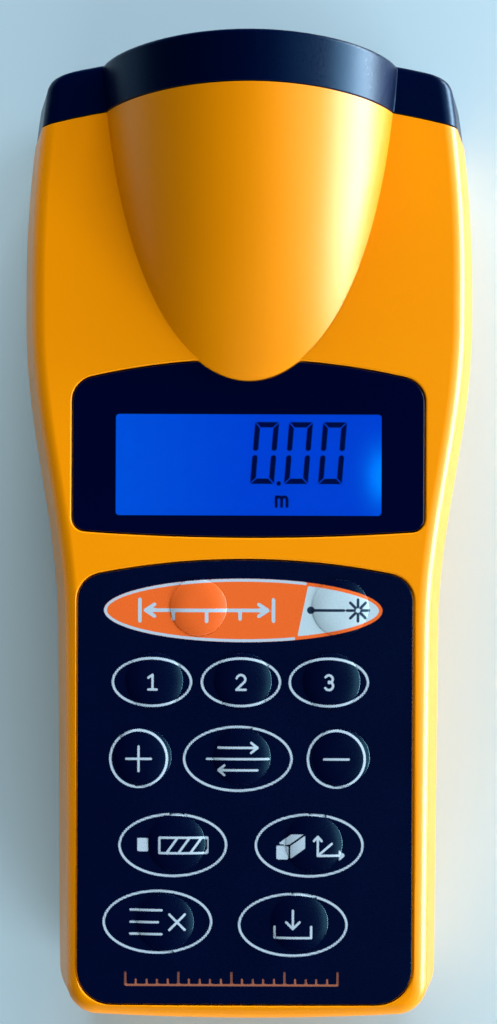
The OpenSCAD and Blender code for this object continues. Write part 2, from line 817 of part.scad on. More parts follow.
module lcd_frame()
    color([0.9, 0.9, 0.88])
        translate([0, glass_y, board_z])
            linear_extrude(inner_z - 0.15 - board_z)
                difference() {
                    square([glass_w + 2 * (lcd_frame_t + 0.15), glass_h + 2 * (lcd_frame_t + 0.15)], center = true);
                    square([glass_w + 0.3, glass_h + 0.3], center = true);
                }

led_w = 1.4;
module lcd_backlight()
    color([0.85, 0.92, 1])
        translate([-view_w / 2 - 0.8, view_y - view_h / 2 - 0.5, board_z])
            cube([view_w + 1.6 - led_w - 0.4, view_h + 1, glass_low_z - 0.1 - board_z]);

module backlight_led()
    color([0.95, 0.95, 0.8])
        translate([view_w / 2 + 0.8 - led_w - 0.1, view_y - 1.6, board_z])
            cube([led_w, 3.2, 1.2]);

strip_w = 1.8;
module contact_strip()
    color([0.85, 0.6, 0.65])
        translate([-view_w / 2, glass_y + glass_h / 2 - strip_w - 0.3, board_z])
            cube([view_w, strip_w, glass_low_z - board_z]);

// Printed overlay film with a round opening for every key
film_shift = -0.1;
module keypad_film()
    color([0.06, 0.08, 0.13])
        difference() {
            translate([film_x + film_shift, 0, 0])
                plate(film_plan(0), film_floor_z, film_z);
            for (k = KEYS)
                translate([key_at(k).x, key_at(k).y, film_floor_z - 1])
                    cylinder(d = key_d + 2 * key_gap, h = film_t + 2);
        }

// Key: round body with a domed top, held in by a collar under the shell
module key(k) {
    r = key_d / 2;
    cap_r = (r * r + key_rise * key_rise) / (2 * key_rise);
    color([0.08, 0.1, 0.16])
        translate([key_at(k).x, key_at(k).y, 0])
            rotate_extrude($fn = 64)
                polygon(concat(
                    [
                        [0, key_low_z],
                        [r + key_collar, key_low_z],
                        [r + key_collar, key_low_z + key_collar_t],
                        [r, key_low_z + key_collar_t]
                    ],
                    [for (i = [0:6]) let (x = r * (1 - i / 6))
                        [x, film_z + key_rise - cap_r + sqrt(cap_r * cap_r - x * x)]]
                ));
}

// Silicone mat with a hollow rubber dome under every key
mat_low_y = max(heel_y + grip_screw_up + boss_r + 0.6, key_low_y - mat_dome_r - 1);
mat_top_y = film_top_y - rows[0] + mat_dome_r + 0.2;
mat_dome_h = key_low_z - 0.1 - board_z;
module key_mat()
    color([0.75, 0.75, 0.72])
        difference() {
            union() {
                translate([film_x - (board_w - 1.6) / 2, mat_low_y, board_z])
                    cube([board_w - 1.6, mat_top_y - mat_low_y, mat_t]);
                for (k = KEYS)
                    translate([key_at(k).x, key_at(k).y, board_z + mat_t / 2])
                        cylinder(r1 = mat_dome_r - 0.2, r2 = mat_dome_r - 1.2, h = mat_dome_h - mat_t / 2);
            }
            for (k = KEYS)
                translate([key_at(k).x, key_at(k).y, board_z - 1])
                    cylinder(r1 = mat_dome_r - 0.7, r2 = mat_dome_r - 1.9, h = 1 + mat_dome_h - 0.8);
        }

// Printed circuit board with screw holes, and the parts on its underside
board_low_y = heel_y + grip_screw_up + boss_r + 0.4;
module main_board()
    color([0.1, 0.4, 0.2])
        difference() {
            translate([-board_w / 2, board_low_y, board_low_z])
                cube([board_w, board_top_y - board_low_y, board_t]);
            for (p = board_screw_at)
                translate([p.x, p.y, board_low_z - 1])
                    cylinder(r = board_screw_r + 0.2, h = board_t + 2);
        }

chip_w = 10;
chip_t = 1.4;
chip_x = 3;
module controller_chip()
    color([0.1, 0.1, 0.1])
        translate([-chip_x - chip_w, view_y - chip_w / 2, board_low_z - chip_t])
            cube([chip_w, chip_w, chip_t]);

coil_w = 9;
module drive_transformer()
    color([0.2, 0.18, 0.15])
        translate([coil_w / 2 + 1, board_top_y - 11, 0]) {
            translate([-coil_w / 2, -coil_w / 2, board_low_z - 1.5])
                cube([coil_w, coil_w, 1.5]);
            translate([0, 0, board_low_z - coil_w + 1])
                cylinder(r = coil_w / 2 - 1, h = coil_w - 2);
            translate([-coil_w / 2, -coil_w / 2, board_low_z - coil_w])
                cube([coil_w, coil_w, 1.5]);
        }

drum_r = 3.1;
drum_h = 9;
drum_x = 6;
drum_pitch = 7.5;
module capacitors()
    color([0.15, 0.2, 0.4])
        for (i = [0:1])
            translate([-drum_x - drum_pitch * i, board_top_y - drum_h + 1, board_low_z - drum_h])
                cylinder(r = drum_r, h = drum_h);

module crystal()
    color([0.8, 0.8, 0.82])
        translate([8, view_y - 4, 0])
            plate(round_rect(11, 4.6, 2.2), board_low_z - 3.5, board_low_z);

// Block battery with its two terminals, and the snap that sits on them
terminal_x = 6.35;
terminal_l = 2.8;
stud_r = 2.8;
socket_r = 3.8;
bay_mid_z = battery_z + battery_t / 2;
module battery()
    color([0.15, 0.15, 0.17]) {
        translate([0, battery_y + battery_l, bay_mid_z])
            rotate([90, 0, 0])
                linear_extrude(battery_l)
                    polygon(round_rect(battery_w, battery_t, 1.5));
        y_bar([-terminal_x, battery_y + battery_l - 1, bay_mid_z], stud_r, terminal_l + 1);
        y_bar([terminal_x, battery_y + battery_l - 1, bay_mid_z], socket_r, terminal_l + 1);
    }

snap_h = 13;
module battery_snap()
    color([0.05, 0.05, 0.05])
        difference() {
            translate([-battery_w / 2, snap_y, bay_mid_z - snap_h / 2])
                cube([battery_w, snap_t, snap_h]);
            y_bar([-terminal_x, snap_y - 1, bay_mid_z], stud_r + fit, terminal_l + 1 + fit);
            y_bar([terminal_x, snap_y - 1, bay_mid_z], socket_r + fit, terminal_l + 1 + fit);
        }

module battery_leads()
    color([0.75, 0.08, 0.08])
        for (s = [-1, 1])
            lead([
                [s * 1.1, snap_y + snap_t + fit, bay_mid_z + 2],
                [s * 1.1, bay_end_y + 7, bay_mid_z + 2],
                [s * 1.6, bay_end_y + 6, board_low_z - 5],
                [s * 1.6, bay_end_y + 6, board_low_z - fit]
            ]);

// Battery door: slides out at the heel on two side tongues
grip_n = 6;
module battery_door()
    color([0.93, 0.6, 0.05])
        difference() {
            intersection() {
                case_skin(rear_out);
                union() {
                    translate([-door_hw, heel_y - 1, -1])
                        cube([2 * door_hw, bay_end_y - 0.2 - heel_y + 1, door_t + 1]);
                    translate([-door_hw - tongue_w, heel_y - 1, door_lip + fit])
                        cube([2 * (door_hw + tongue_w), bay_end_y - 0.2 - heel_y + 1, tongue_t]);
                }
            }
            for (i = [0:grip_n - 1])
                translate([-door_hw / 2, bay_end_y - 8 - 2.2 * i, -1])
                    cube([door_hw, 1, 1.5]);
        }

// Screw pointing up from a seat height: head below, round shank above, cross slot in the head
module screw(p, seat, r, head_r, head_t, l)
    translate([p.x, p.y, seat])
        difference() {
            union() {
                translate([0, 0, -head_t])
                    cylinder(r = head_r, h = head_t);
                cylinder(r = r, h = l);
            }
            for (a = [0, 90])
                rotate(a)
                    translate([-0.6 * head_r, -0.15 * head_r, -head_t - 1])
                        cube([1.2 * head_r, 0.3 * head_r, 1 + head_t / 2]);
        }

module case_screws()
    color([0.7, 0.7, 0.72])
        for (p = screw_at)
            screw(p, screw_seat, screw_r, screw_head_r, screw_head_t, inner_z - 5 - screw_seat);

module board_screws()
    color([0.7, 0.7, 0.72])
        for (p = board_screw_at)
            screw(p, board_low_z, board_screw_r, 1.7, 1.3, board_t + board_drop - 1.2);

front_shell();
rear_shell();
front_cap();
horn();
transducer_can();
transducer_grille();
transducer_base();
transducer_boot();
transducer_leads();
laser_barrel();
laser_lens();
laser_leads();
display_lens();
lcd_glass();
lcd_frame();
lcd_backlight();
backlight_led();
contact_strip();
keypad_film();
key_mat();
main_board();
controller_chip();
drive_transformer();
capacitors();
crystal();
battery();
battery_snap();
battery_leads();
battery_door();
case_screws();
board_screws();
for (k = KEYS)
    key(k);
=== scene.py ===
"""Looks of a handheld ultrasonic distance meter: smooth mouldings, printed keypad, lit display and studio."""

import math

import bmesh
import bpy
import numpy as np
from mathutils.geometry import delaunay_2d_cdt
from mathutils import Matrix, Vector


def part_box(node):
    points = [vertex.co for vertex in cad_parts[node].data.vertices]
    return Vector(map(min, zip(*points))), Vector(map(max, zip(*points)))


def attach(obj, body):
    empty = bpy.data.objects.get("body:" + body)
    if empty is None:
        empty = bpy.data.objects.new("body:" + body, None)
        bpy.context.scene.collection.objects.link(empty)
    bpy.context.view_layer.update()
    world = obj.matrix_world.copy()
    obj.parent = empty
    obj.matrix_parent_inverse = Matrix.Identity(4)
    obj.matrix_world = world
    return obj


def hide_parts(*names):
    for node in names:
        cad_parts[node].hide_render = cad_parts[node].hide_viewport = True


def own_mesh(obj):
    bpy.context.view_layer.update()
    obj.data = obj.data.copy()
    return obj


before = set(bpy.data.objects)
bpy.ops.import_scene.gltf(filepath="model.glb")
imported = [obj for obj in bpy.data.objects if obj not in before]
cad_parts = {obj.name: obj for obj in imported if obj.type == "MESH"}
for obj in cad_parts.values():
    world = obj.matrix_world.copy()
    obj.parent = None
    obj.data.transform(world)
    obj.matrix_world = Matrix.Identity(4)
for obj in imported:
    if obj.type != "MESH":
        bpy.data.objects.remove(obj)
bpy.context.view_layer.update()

bl_info = {
    "name": "Ultrasonic distance meter",
    "version": (1, 0, 0),
    "blender": (4, 5, 0),
    "location": "3D View > Sidebar > Meter",
    "description": "Mouldings, keypad, display and studio of a handheld ultrasonic distance meter",
    "category": "Object",
}

MM = 0.001
SPAN = {node: np.array([list(corner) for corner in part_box(node)]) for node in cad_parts}
KEYS = [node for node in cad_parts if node.endswith("_key")]
NOSE = SPAN["front_cap"][1, 1]
HEEL = SPAN["front_shell"][0, 1]
SEAM = SPAN["front_shell"][0, 2]
LENS_TOP = SPAN["display_lens"][1, 2]
FILM_TOP = SPAN["keypad_film"][1, 2]
LENS_SINK = 0.05 * MM
FACE = LENS_TOP + LENS_SINK
DRAFT = math.tan(math.radians(8.3))
QUARTER = np.radians(np.linspace(0, 90, 11))
KEY_PLACES = {key: SPAN[key].mean(0)[:2] for key in KEYS}

# Lengths that several pieces share
PAST = 1 * MM  # how far a cutter runs past the face that it opens
JOINT = 0.12 * MM  # gap round the cap, and round the nose in the lens's notch
SEAM_CHAMFER = 0.15 * MM
INNER_ROUND = 1.2 * MM  # radius of the edges inside the shells
DOOR_LIP = 1 * MM  # how far the door's tongues reach into their slots
FILM_HOLE = 4.08 * MM  # radius of the film's openings
PAD_RIM = 4.06 * MM  # radius of the key pads


def linear(code):
    """Linear colour with alpha of an sRGB hex code."""
    srgb = np.array([int(code[i : i + 2], 16) for i in (1, 3, 5)]) / 255
    rgb = np.where(srgb <= 0.04045, srgb / 12.92, ((srgb + 0.055) / 1.055) ** 2.4)
    return (*rgb.tolist(), 1.0)


def length(name, description, default):
    """Property that holds a length in metres."""
    return bpy.props.FloatProperty(
        name=name, description=description, default=default, unit="LENGTH", precision=5
    )


def colour(name, description, code):
    """Property that holds a colour, from its sRGB hex code."""
    return bpy.props.FloatVectorProperty(
        name=name, description=description, default=linear(code), subtype="COLOR", size=4, min=0, max=1
    )


class MeterSizes(bpy.types.PropertyGroup):
    """Lengths of the mouldings and panels."""

    head_width: length("Head width", "Width of the case at the head", 2 * SPAN["front_shell"][1, 0])
    grip_width: length("Grip width", "Width of the case at the waist", 56.4 * MM)
    grip_taper: bpy.props.FloatProperty(
        name="Grip taper", description="Loss of half width per length down the grip", default=0.009
    )
    crown_back: length("Crown", "From the front end to the widest place", 32.2 * MM)
    shoulder_back: length("Shoulder", "From the front end to the shoulder", 37.2 * MM)
    waist_back: length("Waist", "From the front end to the waist", 83.2 * MM)
    side_radius: length("Side radius", "Radius of the sides beside the nose", 175 * MM)
    heel_round: length("Heel corners", "Radius of the corners at the heel", 6.5 * MM)
    heel_bow: length("Heel bow", "Radius of the bowed heel edge", 400 * MM)
    face_round: length("Face edge", "Radius of the edge round the face", 2.2 * MM)
    back_round: length("Back edge", "Radius of the edge round the back", 4 * MM)
    wall: length("Wall", "Thickness of the mouldings", 2.4 * MM)
    nose_radius: length("Nose radius", "Radius across the raised nose", 21.5 * MM)
    nose_rise: length("Nose rise", "Height of the nose above the face", 18 * MM)
    nose_length: length("Nose length", "Length of the nose along the case", 46.4 * MM)
    nose_line: length("Nose line", "Radius of the nose's top line", 300 * MM)
    front_arc: length("Front arc", "Radius of the bowed front end", 118 * MM)
    cap_length: length("Cap length", "Length of the front cap", 6.8 * MM)
    cap_corner: length("Cap corner", "Radius of the cap's plan corners", 3 * MM)
    cap_edge: length("Cap edge", "Radius of the cap's front edge", 0.55 * MM)
    horn_height: length("Horn height", "Height of the horn's axis", 23.5 * MM)
    horn_radius: length("Horn mouth", "Radius of the horn's mouth", 17.6 * MM)
    throat_radius: length("Horn throat", "Radius of the horn's throat", 7.4 * MM)
    flare_length: length("Horn flare", "Length of the horn from mouth to throat", 16 * MM)
    lens_back: length("Lens top", "From the front end to the upper edge of the display lens", 43.7 * MM)
    view_width: length("View width", "Width of the clear view", 37.8 * MM)
    view_height: length("View height", "Height of the clear view", 14.4 * MM)
    view_back: length("View centre", "From the front end to the middle of the clear view", 58.6 * MM)
    recess_lip: length("Recess lip", "Radius of the lips round the panel recesses", 0.25 * MM)
    pad_rise: length("Pad rise", "Height of the key pads above the film", 0.5 * MM)


class MeterColours(bpy.types.PropertyGroup):
    """Colours of the mouldings and prints."""

    case: colour("Case", "Moulded shells", "#EE9600")
    case_deep: colour("Case, deep", "Slightly deeper patches of the shells", "#E98F00")
    cap: colour("Cap", "Black mouldings", "#000526")
    film: colour("Film", "Ground colour of the keypad print", "#000524")
    line: colour("Line", "Light lines and signs of the print", "#AECBE1")
    orange: colour("Orange", "Orange field of the print", "#E66A2C")
    pale: colour("Pale", "Pale field of the print", "#B2D2E3")
    bronze: colour("Bronze", "Scale at the lower edge of the print", "#98614D")
    glow: colour("Glow", "Lit display", "#003FD0")
    ink: colour("Ink", "Dark display segments", "#00083E")


# Grids and solids


def grid(rows, columns, around=False, along=False):
    """Quads of a grid of points kept row by row; around and along close the grid across and down."""
    r = np.arange(rows if along else rows - 1)[:, None]
    c = np.arange(columns if around else columns - 1)[None, :]
    below = (r + 1) % rows * columns
    right = (c + 1) % columns
    return np.stack([r * columns + c, r * columns + right, below + right, below + c], -1).reshape(-1, 4)


def new_piece(name, points, faces):
    """Object of points and faces, with doubled points merged and the faces turned outwards."""
    mesh = bpy.data.meshes.new(name)
    mesh.from_pydata(points.reshape(-1, 3).tolist(), [], faces)
    work = bmesh.new()
    work.from_mesh(mesh)
    bmesh.ops.remove_doubles(work, verts=work.verts, dist=1e-7)
    bmesh.ops.dissolve_degenerate(work, edges=work.edges, dist=1e-8)
    bmesh.ops.recalc_face_normals(work, faces=work.faces)
    work.to_mesh(mesh)
    work.free()
    piece = bpy.data.objects.new(name, mesh)
    bpy.context.scene.collection.objects.link(piece)
    return piece


def loft(name, rings):
    """Solid whose skin joins each ring of points to the next, with flat ends."""
    rows, columns = rings.shape[:2]
    last = (rows - 1) * columns
    ends = [list(range(columns))[::-1], list(range(last, last + columns))]
    return new_piece(name, rings, grid(rows, columns, around=True).tolist() + ends)


def revolve(name, profile, centre, axis=2, sides=96, ring=False):
    """Profile of radius and height carried round an axis: x = r cos a, y = r sin a, z = height."""
    a = np.linspace(0, 2 * np.pi, sides, endpoint=False)
    r = profile[:, :1]
    flat = np.stack([r * np.cos(a), r * np.sin(a), profile[:, 1:] + 0 * a], -1)
    turned = flat if axis == 2 else flat[..., [0, 2, 1]]
    faces = grid(len(profile), sides, around=True, along=ring)
    return new_piece(name, turned + np.array(centre), faces.tolist())


def stacked(plans, heights):
    """Rings of points: each plan outline at its own height."""
    return np.stack([np.column_stack([plan, np.full(len(plan), z)]) for plan, z in zip(plans, heights)])


def prism(name, plan, low, high):
    """Upright solid on a plan outline."""
    return loft(name, stacked([plan, plan], (low, high)))


def block(name, low, high):
    """Box between two corners."""
    plan = np.array([(low[0], low[1]), (high[0], low[1]), (high[0], high[1]), (low[0], high[1])])
    return prism(name, plan, low[2], high[2])


def joined(pieces):
    """One object of several, each a separate island of the first one's mesh."""
    work = bmesh.new()
    for piece in pieces:
        work.from_mesh(piece.data)
    work.to_mesh(pieces[0].data)
    work.free()
    for piece in pieces[1:]:
        bpy.data.meshes.remove(piece.data)
    return pieces[0]


def rods(name, places, radius, low, high, sides):
    """Upright cylinders on places in the plan, as one object."""
    profile = np.array([[0, low], [radius, low], [radius, high], [0, high]])
    return joined([revolve(name, profile, (x, y, 0), sides=sides) for x, y in places])


def carve(piece, *steps):
    """Adds and cuts with other solids in order, keeps the result as the piece's mesh and drops the solids."""
    for operation, tool in steps:
        change = piece.modifiers.new(operation, "BOOLEAN")
        change.operation = operation
        change.solver = "EXACT"
        change.object = tool
    shaped = piece.evaluated_get(bpy.context.evaluated_depsgraph_get())
    mesh = bpy.data.meshes.new_from_object(shaped)
    plain = piece.data
    piece.modifiers.clear()
    piece.data = mesh
    bpy.data.meshes.remove(plain)
    for _, tool in steps:
        bpy.data.meshes.remove(tool.data)
    return piece


def dress(piece, material, body, nodes, angle=24):
    """Gives a piece its shading and material, puts it on its body and hides the CAD nodes that it stands for."""
    piece.data.materials.clear()
    piece.data.materials.append(material)
    piece.data.shade_smooth()
    piece.data.set_sharp_from_angle(angle=math.radians(angle))
    even = piece.modifiers.new("Even shading", "WEIGHTED_NORMAL")
    even.keep_sharp = True
    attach(piece, body)
    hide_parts(*nodes)


# Outlines of the case


def key_radius(key):
    """Radius of a key's collar."""
    return (SPAN[key][1, 0] - SPAN[key][0, 0]) / 2


def face_inset(s):
    """How far the draft brings the side in, from the seam up to the face's edge."""
    return (FACE - s.face_round - SEAM) * DRAFT


def back_inset(s):
    """How far the draft brings the side in, from the seam down to the back's edge."""
    return (SEAM - s.back_round) * DRAFT


def back_edge(s):
    """Insets and heights of the outline up the back's rounded edge."""
    insets = back_inset(s) + s.back_round * (1 - np.sin(QUARTER))
    heights = s.back_round - s.back_round * np.cos(QUARTER)
    return [*insets], [*heights]


def half_width(s, y):
    """Half width at the seam: an arc at the head, a cosine easing down the shoulder, then a slim taper."""
    head = s.head_width / 2
    grip = s.grip_width / 2
    waist = NOSE - s.waist_back
    shoulder = NOSE - s.shoulder_back
    rise = np.maximum(y - NOSE + s.crown_back, 0)
    arc = head - s.side_radius + np.sqrt(s.side_radius**2 - rise**2)
    t = np.clip((y - waist) / (shoulder - waist), 0, 1)
    ease = grip + (head - grip) * (1 - np.cos(np.pi * t)) / 2
    return np.where(y > shoulder, arc, ease - np.maximum(waist - y, 0) * s.grip_taper)


def case_rings(s, insets, heights):
    """Plan outline of the case at each height, moved in by the inset: bowed heel, round corners, sides."""
    d = np.array(insets)[:, None]
    cx = half_width(s, HEEL + s.heel_round) - s.heel_round
    cy = HEEL + cx**2 / (2 * s.heel_bow) + s.heel_round
    x = np.linspace(0, cx, 9)
    a = np.radians(np.linspace(-90, 0, 19))[1:]
    y = np.linspace(cy, NOSE + 2 * MM, 111)[1:]
    across = [x + 0 * d, cx + (s.heel_round - d) * np.cos(a), half_width(s, y) - d]
    down = [HEEL + x**2 / (2 * s.heel_bow) + d, cy + (s.heel_round - d) * np.sin(a), y + 0 * d]
    right = np.stack([np.concatenate(across, 1), np.concatenate(down, 1)], -1)
    left = right[:, :0:-1] * (-1, 1)
    plan = np.concatenate([right, left], 1)
    z = np.broadcast_to(np.array(heights)[:, None, None], plan.shape[:2] + (1,))
    return np.concatenate([plan, z], -1)


def sag(s, x):
    """How far the bowed front end lies behind its middle."""
    return s.front_arc - np.sqrt(s.front_arc**2 - x**2)


def front_cutter(s, back):
    """Solid that takes away all that lies in front of a bowed line, a length behind the nose."""
    half, ahead = 40, 20 * MM
    x = np.linspace(-half, half, 121) * MM
    line = np.stack([x, NOSE - back - sag(s, x)], -1)
    plan = np.concatenate([line, [[half * MM, NOSE + ahead], [-half * MM, NOSE + ahead]]])
    low, high = -5 * MM, 60 * MM
    return prism("front cutter", plan, low, high)


def nose_tube(s):
    """Centre and radius of the circle that the middle of the nose's tube follows."""
    chord = np.array([s.nose_length, s.nose_rise])
    span = np.hypot(*chord)
    middle = np.array([NOSE - s.nose_length / 2, FACE + s.nose_rise / 2])
    inward = np.array([chord[1], -chord[0]]) / span
    centre = middle + inward * np.sqrt(s.nose_line**2 - span**2 / 4)
    return centre[0], centre[1], s.nose_line - s.nose_radius


def nose_height(s, x, y, radius):
    """Height of the nose: z = centre + sqrt((line radius + sqrt(r^2 - x^2))^2 - (y - centre)^2)."""
    cy, cz, ring = nose_tube(s)
    across = np.sqrt(np.maximum(radius**2 - x**2, 0))
    return cz + np.sqrt((ring + across) ** 2 - (y - cy) ** 2)


def nose_side(s, y, z, radius):
    """Half width of the nose at a height, from the same tube."""
    cy, cz, ring = nose_tube(s)
    up = np.hypot(z - cz, y - cy) - ring
    return np.sqrt(np.maximum(radius**2 - up**2, 0))


def nose_solid(s, grow, low):
    """Raised nose above a height: arcs across at stations along the case, from the tip to past the front."""
    radius = s.nose_radius + grow
    cy, cz, ring = nose_tube(s)
    tip = cy - np.sqrt((ring + radius) ** 2 - (low - cz) ** 2)
    y = tip + 1e-6 + (NOSE + 4 * MM - tip) * np.linspace(0, 1, 71)[:, None] ** 1.7
    side = np.arcsin(np.clip(nose_side(s, y, low, radius) / radius, 0, 1))
    x = radius * np.sin(side * np.linspace(-1, 1, 91)[None, :])
    z = np.maximum(nose_height(s, x, y, radius), low)
    return loft("nose", np.stack([x, y + 0 * x, z], -1))


def panel_plan(plan, grow):
    """Panel outline grown by a length: bowed lower and upper edges joined to straight sides by tangent arcs."""
    width, low, high, low_bow, high_bow, low_corner, high_corner, shift = plan
    half = width / 2 + grow
    parts = []
    for edge, bow, corner, up in ((low - grow, low_bow, low_corner, -1), (high + grow, high_bow, high_corner, 1)):
        r = bow + grow
        c = corner + grow
        cx = half - c
        cy = edge - up * r + up * np.sqrt((r - c) ** 2 - cx**2)
        reach = np.arcsin(cx / (r - c))
        a = np.linspace(0, reach, 15)
        b = np.linspace(reach, np.pi / 2, 13)[1:]
        x = np.concatenate([r * np.sin(a), cx + c * np.sin(b)])
        y = np.concatenate([edge - up * r + up * r * np.cos(a), cy + up * c * np.cos(b)])
        parts.append(np.stack([x, y], -1))
    right = np.concatenate([parts[0], parts[1][::-1]])
    left = right[-2:0:-1] * (-1, 1)
    return np.concatenate([right, left]) + (shift, 0)


def panel_rings(plan, grows, heights):
    """Panel outlines, grown by a length at each height."""
    return stacked([panel_plan(plan, grow) for grow in grows], heights)


def inside(points, loop):
    """Which points lie inside a convex loop that runs anticlockwise."""
    along = np.roll(loop, -1, 0) - loop
    cross = along[None, :, 0] * (points[:, None, 1] - loop[None, :, 1])
    cross -= along[None, :, 1] * (points[:, None, 0] - loop[None, :, 0])
    return (cross > 0).all(1)


def lens_plan(s):
    """Plan of the display lens: width, lower and upper edge, their bows and corners, and sideways shift."""
    low, high = SPAN["display_lens"]
    bows, corners = (330 * MM, 100 * MM), (1.8 * MM, 3.5 * MM)
    return (high[0] - low[0], low[1], NOSE - s.lens_back, *bows, *corners, 0.0)


def film_plan():
    """Plan of the keypad film in the same order."""
    low, high = SPAN["keypad_film"]
    middle = (low[0] + high[0]) / 2
    bows, corners = (3000 * MM, 107 * MM), (5 * MM, 3.8 * MM)
    return (high[0] - low[0], low[1], high[1], *bows, *corners, middle)


def recess(s, plan, gap, floor):
    """Cutter for a panel recess whose lip opens in a rounded edge."""
    r = s.recess_lip
    a = QUARTER[:10]
    grows = [gap, *(gap + r * (1 - np.cos(a)))]
    heights = [floor, *(FACE - r + r * np.sin(a))]
    flare = 1.2 * MM
    grows.append(grows[-1] + flare)
    heights.append(heights[-1] + flare / math.tan(QUARTER[9]))
    return loft("recess", panel_rings(plan, grows, heights))


def key_cutters(radius, low, high):
    """Cylinders on the keys' centres."""
    return rods("key hole", KEY_PLACES.values(), radius, low, high, 64)


def view_box(s, grow, low, high):
    """Solid over the clear view of the display, grown by a length, with small round corners."""
    half = np.array([s.view_width / 2 + grow, s.view_height / 2 + grow])
    corner = 0.5 * MM
    a = np.radians(np.arange(0, 360, 15)) + np.radians(7.5)
    turn = np.stack([np.cos(a), np.sin(a)], -1)
    plan = np.sign(turn) * (half - corner) + corner * turn + (0, NOSE - s.view_back)
    return prism("view", plan, low, high)


# Prints: distances in millimetres, below zero inside

FAR = 99.0
RING_HALF = 0.17  # half width of the keys' rings
BORDER_HALF = 0.2  # half width of the long field's border
PALE_INSET = 0.5  # from the field's edge to its pale part
PALE_GAP = 0.25  # from the divider to the pale part
STROKE = {"key": 0.32, "span": 0.5, "beam": 0.4, "dot": 1.1, "scale": 0.28, "unit": 0.42}


def strokes(x, y, lines, width):
    """Distance to a set of lines with round ends, less half their width."""
    best = np.full(x.shape, FAR)
    for line in lines:
        for (ax, ay), (bx, by) in zip(line[:-1], line[1:]):
            dx, dy = bx - ax, by - ay
            size = max(dx * dx + dy * dy, 1e-9)
            t = np.clip(((x - ax) * dx + (y - ay) * dy) / size, 0, 1)
            best = np.minimum(best, np.hypot(x - ax - t * dx, y - ay - t * dy))
    return best - width / 2


def oval(x, y, width, height):
    """Distance to an ellipse, to first order: k0 (k0 - 1) / k1 with k0 = |p / r| and k1 = |p / r^2|."""
    k0 = np.hypot(2 * x / width, 2 * y / height)
    k1 = np.hypot(4 * x / width**2, 4 * y / height**2)
    return k0 * (k0 - 1) / np.maximum(k1, 1e-6)


def arc(cx, cy, radius, start, end, count=9):
    """Points along part of a circle."""
    a = np.radians(np.linspace(start, end, count))
    return list(zip(cx + radius * np.cos(a), cy + radius * np.sin(a)))


# Ring of each key: centre off the key in millimetres, then width and height
RINGS = {
    "memory_1_key": (-0.35, -0.14, 11.45, 7.1),
    "memory_2_key": (-0.3, -0.14, 11.45, 7.1),
    "memory_3_key": (-0.4, -0.14, 11.45, 7.1),
    "plus_key": (-0.6, -0.25, 8.4, 8.4),
    "units_key": (-0.6, -0.25, 15.6, 9.4),
    "minus_key": (-0.7, -0.25, 8.4, 8.4),
    "area_key": (-0.55, -0.24, 15.5, 9.1),
    "volume_key": (-0.65, -0.24, 15.5, 9.1),
    "clear_key": (-1.1, 0.09, 15.6, 9.1),
    "store_key": (-0.95, -0.31, 15.6, 9.1),
}

# Signs of the keys as lines round the ring's centre, in millimetres
SIGNS = {
    "memory_1_key": [[(-0.5, 0.62), (0.1, 1.05), (0.1, -1.05)], [(-0.5, -1.05), (0.7, -1.05)]],
    "memory_2_key": [arc(0, 0.42, 0.63, 165, -30) + [(-0.65, -1.05), (0.68, -1.05)]],
    "memory_3_key": [arc(0, 0.5, 0.55, 150, -90), arc(0, -0.46, 0.6, 90, -150)],
    "plus_key": [[(-1.75, 0), (1.75, 0)], [(0, -1.75), (0, 1.75)]],
    "minus_key": [[(-1.75, 0), (1.75, 0)]],
    "units_key": [
        [(-4.4, 0), (4.4, 0)],
        [(-2.8, 1.6), (2.8, 1.6)],
        [(1.9, 2.3), (2.8, 1.6), (1.9, 0.9)],
        [(2.8, -1.6), (-2.8, -1.6)],
        [(-1.9, -0.9), (-2.8, -1.6), (-1.9, -2.3)],
    ],
    "area_key": [
        [(-1.9, -1.1), (4.9, -1.1), (4.9, 1.1), (-1.9, 1.1), (-1.9, -1.1)],
        [(-0.9, -1.1), (0.7, 1.1)],
        [(0.8, -1.1), (2.4, 1.1)],
        [(2.5, -1.1), (4.1, 1.1)],
    ],
    "volume_key": [
        [(1.2, 1.3), (1.2, -1.4), (4.9, -1.4)],
        [(1.2, -1.4), (3.2, 0.3)],
        [(0.65, 0.7), (1.2, 1.3), (1.75, 0.7)],
        [(4.3, -1.95), (4.9, -1.4), (4.3, -0.85)],
    ],
    "clear_key": [
        [(-3.9, 1.7), (0.6, 1.7)],
        [(-3.9, 0), (0.1, 0)],
        [(-3.9, -1.7), (0.6, -1.7)],
        [(1.7, -1.1), (3.9, 1.1)],
        [(1.7, 1.1), (3.9, -1.1)],
    ],
    "store_key": [
        [(-2.6, -0.2), (-2.6, -1.8), (2.6, -1.8), (2.6, -0.2)],
        [(0, 2.1), (0, -0.5)],
        [(-0.95, 0.45), (0, -0.5), (0.95, 0.45)],
    ],
}

# Long field over the two upper keys: centre off the measure key, width and height in millimetres; then its
# slanted divider, a span between two bars, and a beam that ends in a spark, all round the field's centre
FIELD = (6.4, -0.41, 39.6, 9.0)
DIVIDER = ((7.42, -3.85), (9.05, 3.98))
SPAN_SIGN = [
    [(-14.7, -1.55), (-14.7, 1.55)],
    [(4.3, -1.55), (4.3, 1.55)],
    [(-13.9, 0), (3.5, 0)],
    [(-12.6, 0.85), (-13.9, 0), (-12.6, -0.85)],
    [(2.2, 0.85), (3.5, 0), (2.2, -0.85)],
    [(-9.95, 0), (-9.95, -1.25)],
    [(-5.2, 0), (-5.2, -1.55)],
    [(-0.45, 0), (-0.45, -1.25)],
]
BEAM_SIGN = [[(9.6, 0.05), (9.6, 0.05)], [(10.0, 0.05), (14.3, 0.05)]] + [
    [(16.3 + 0.5 * c, 0.05 + 0.5 * d), (16.3 + 1.55 * c, 0.05 + 1.55 * d)]
    for c, d in arc(0, 0, 1, 0, 315, 8)
]

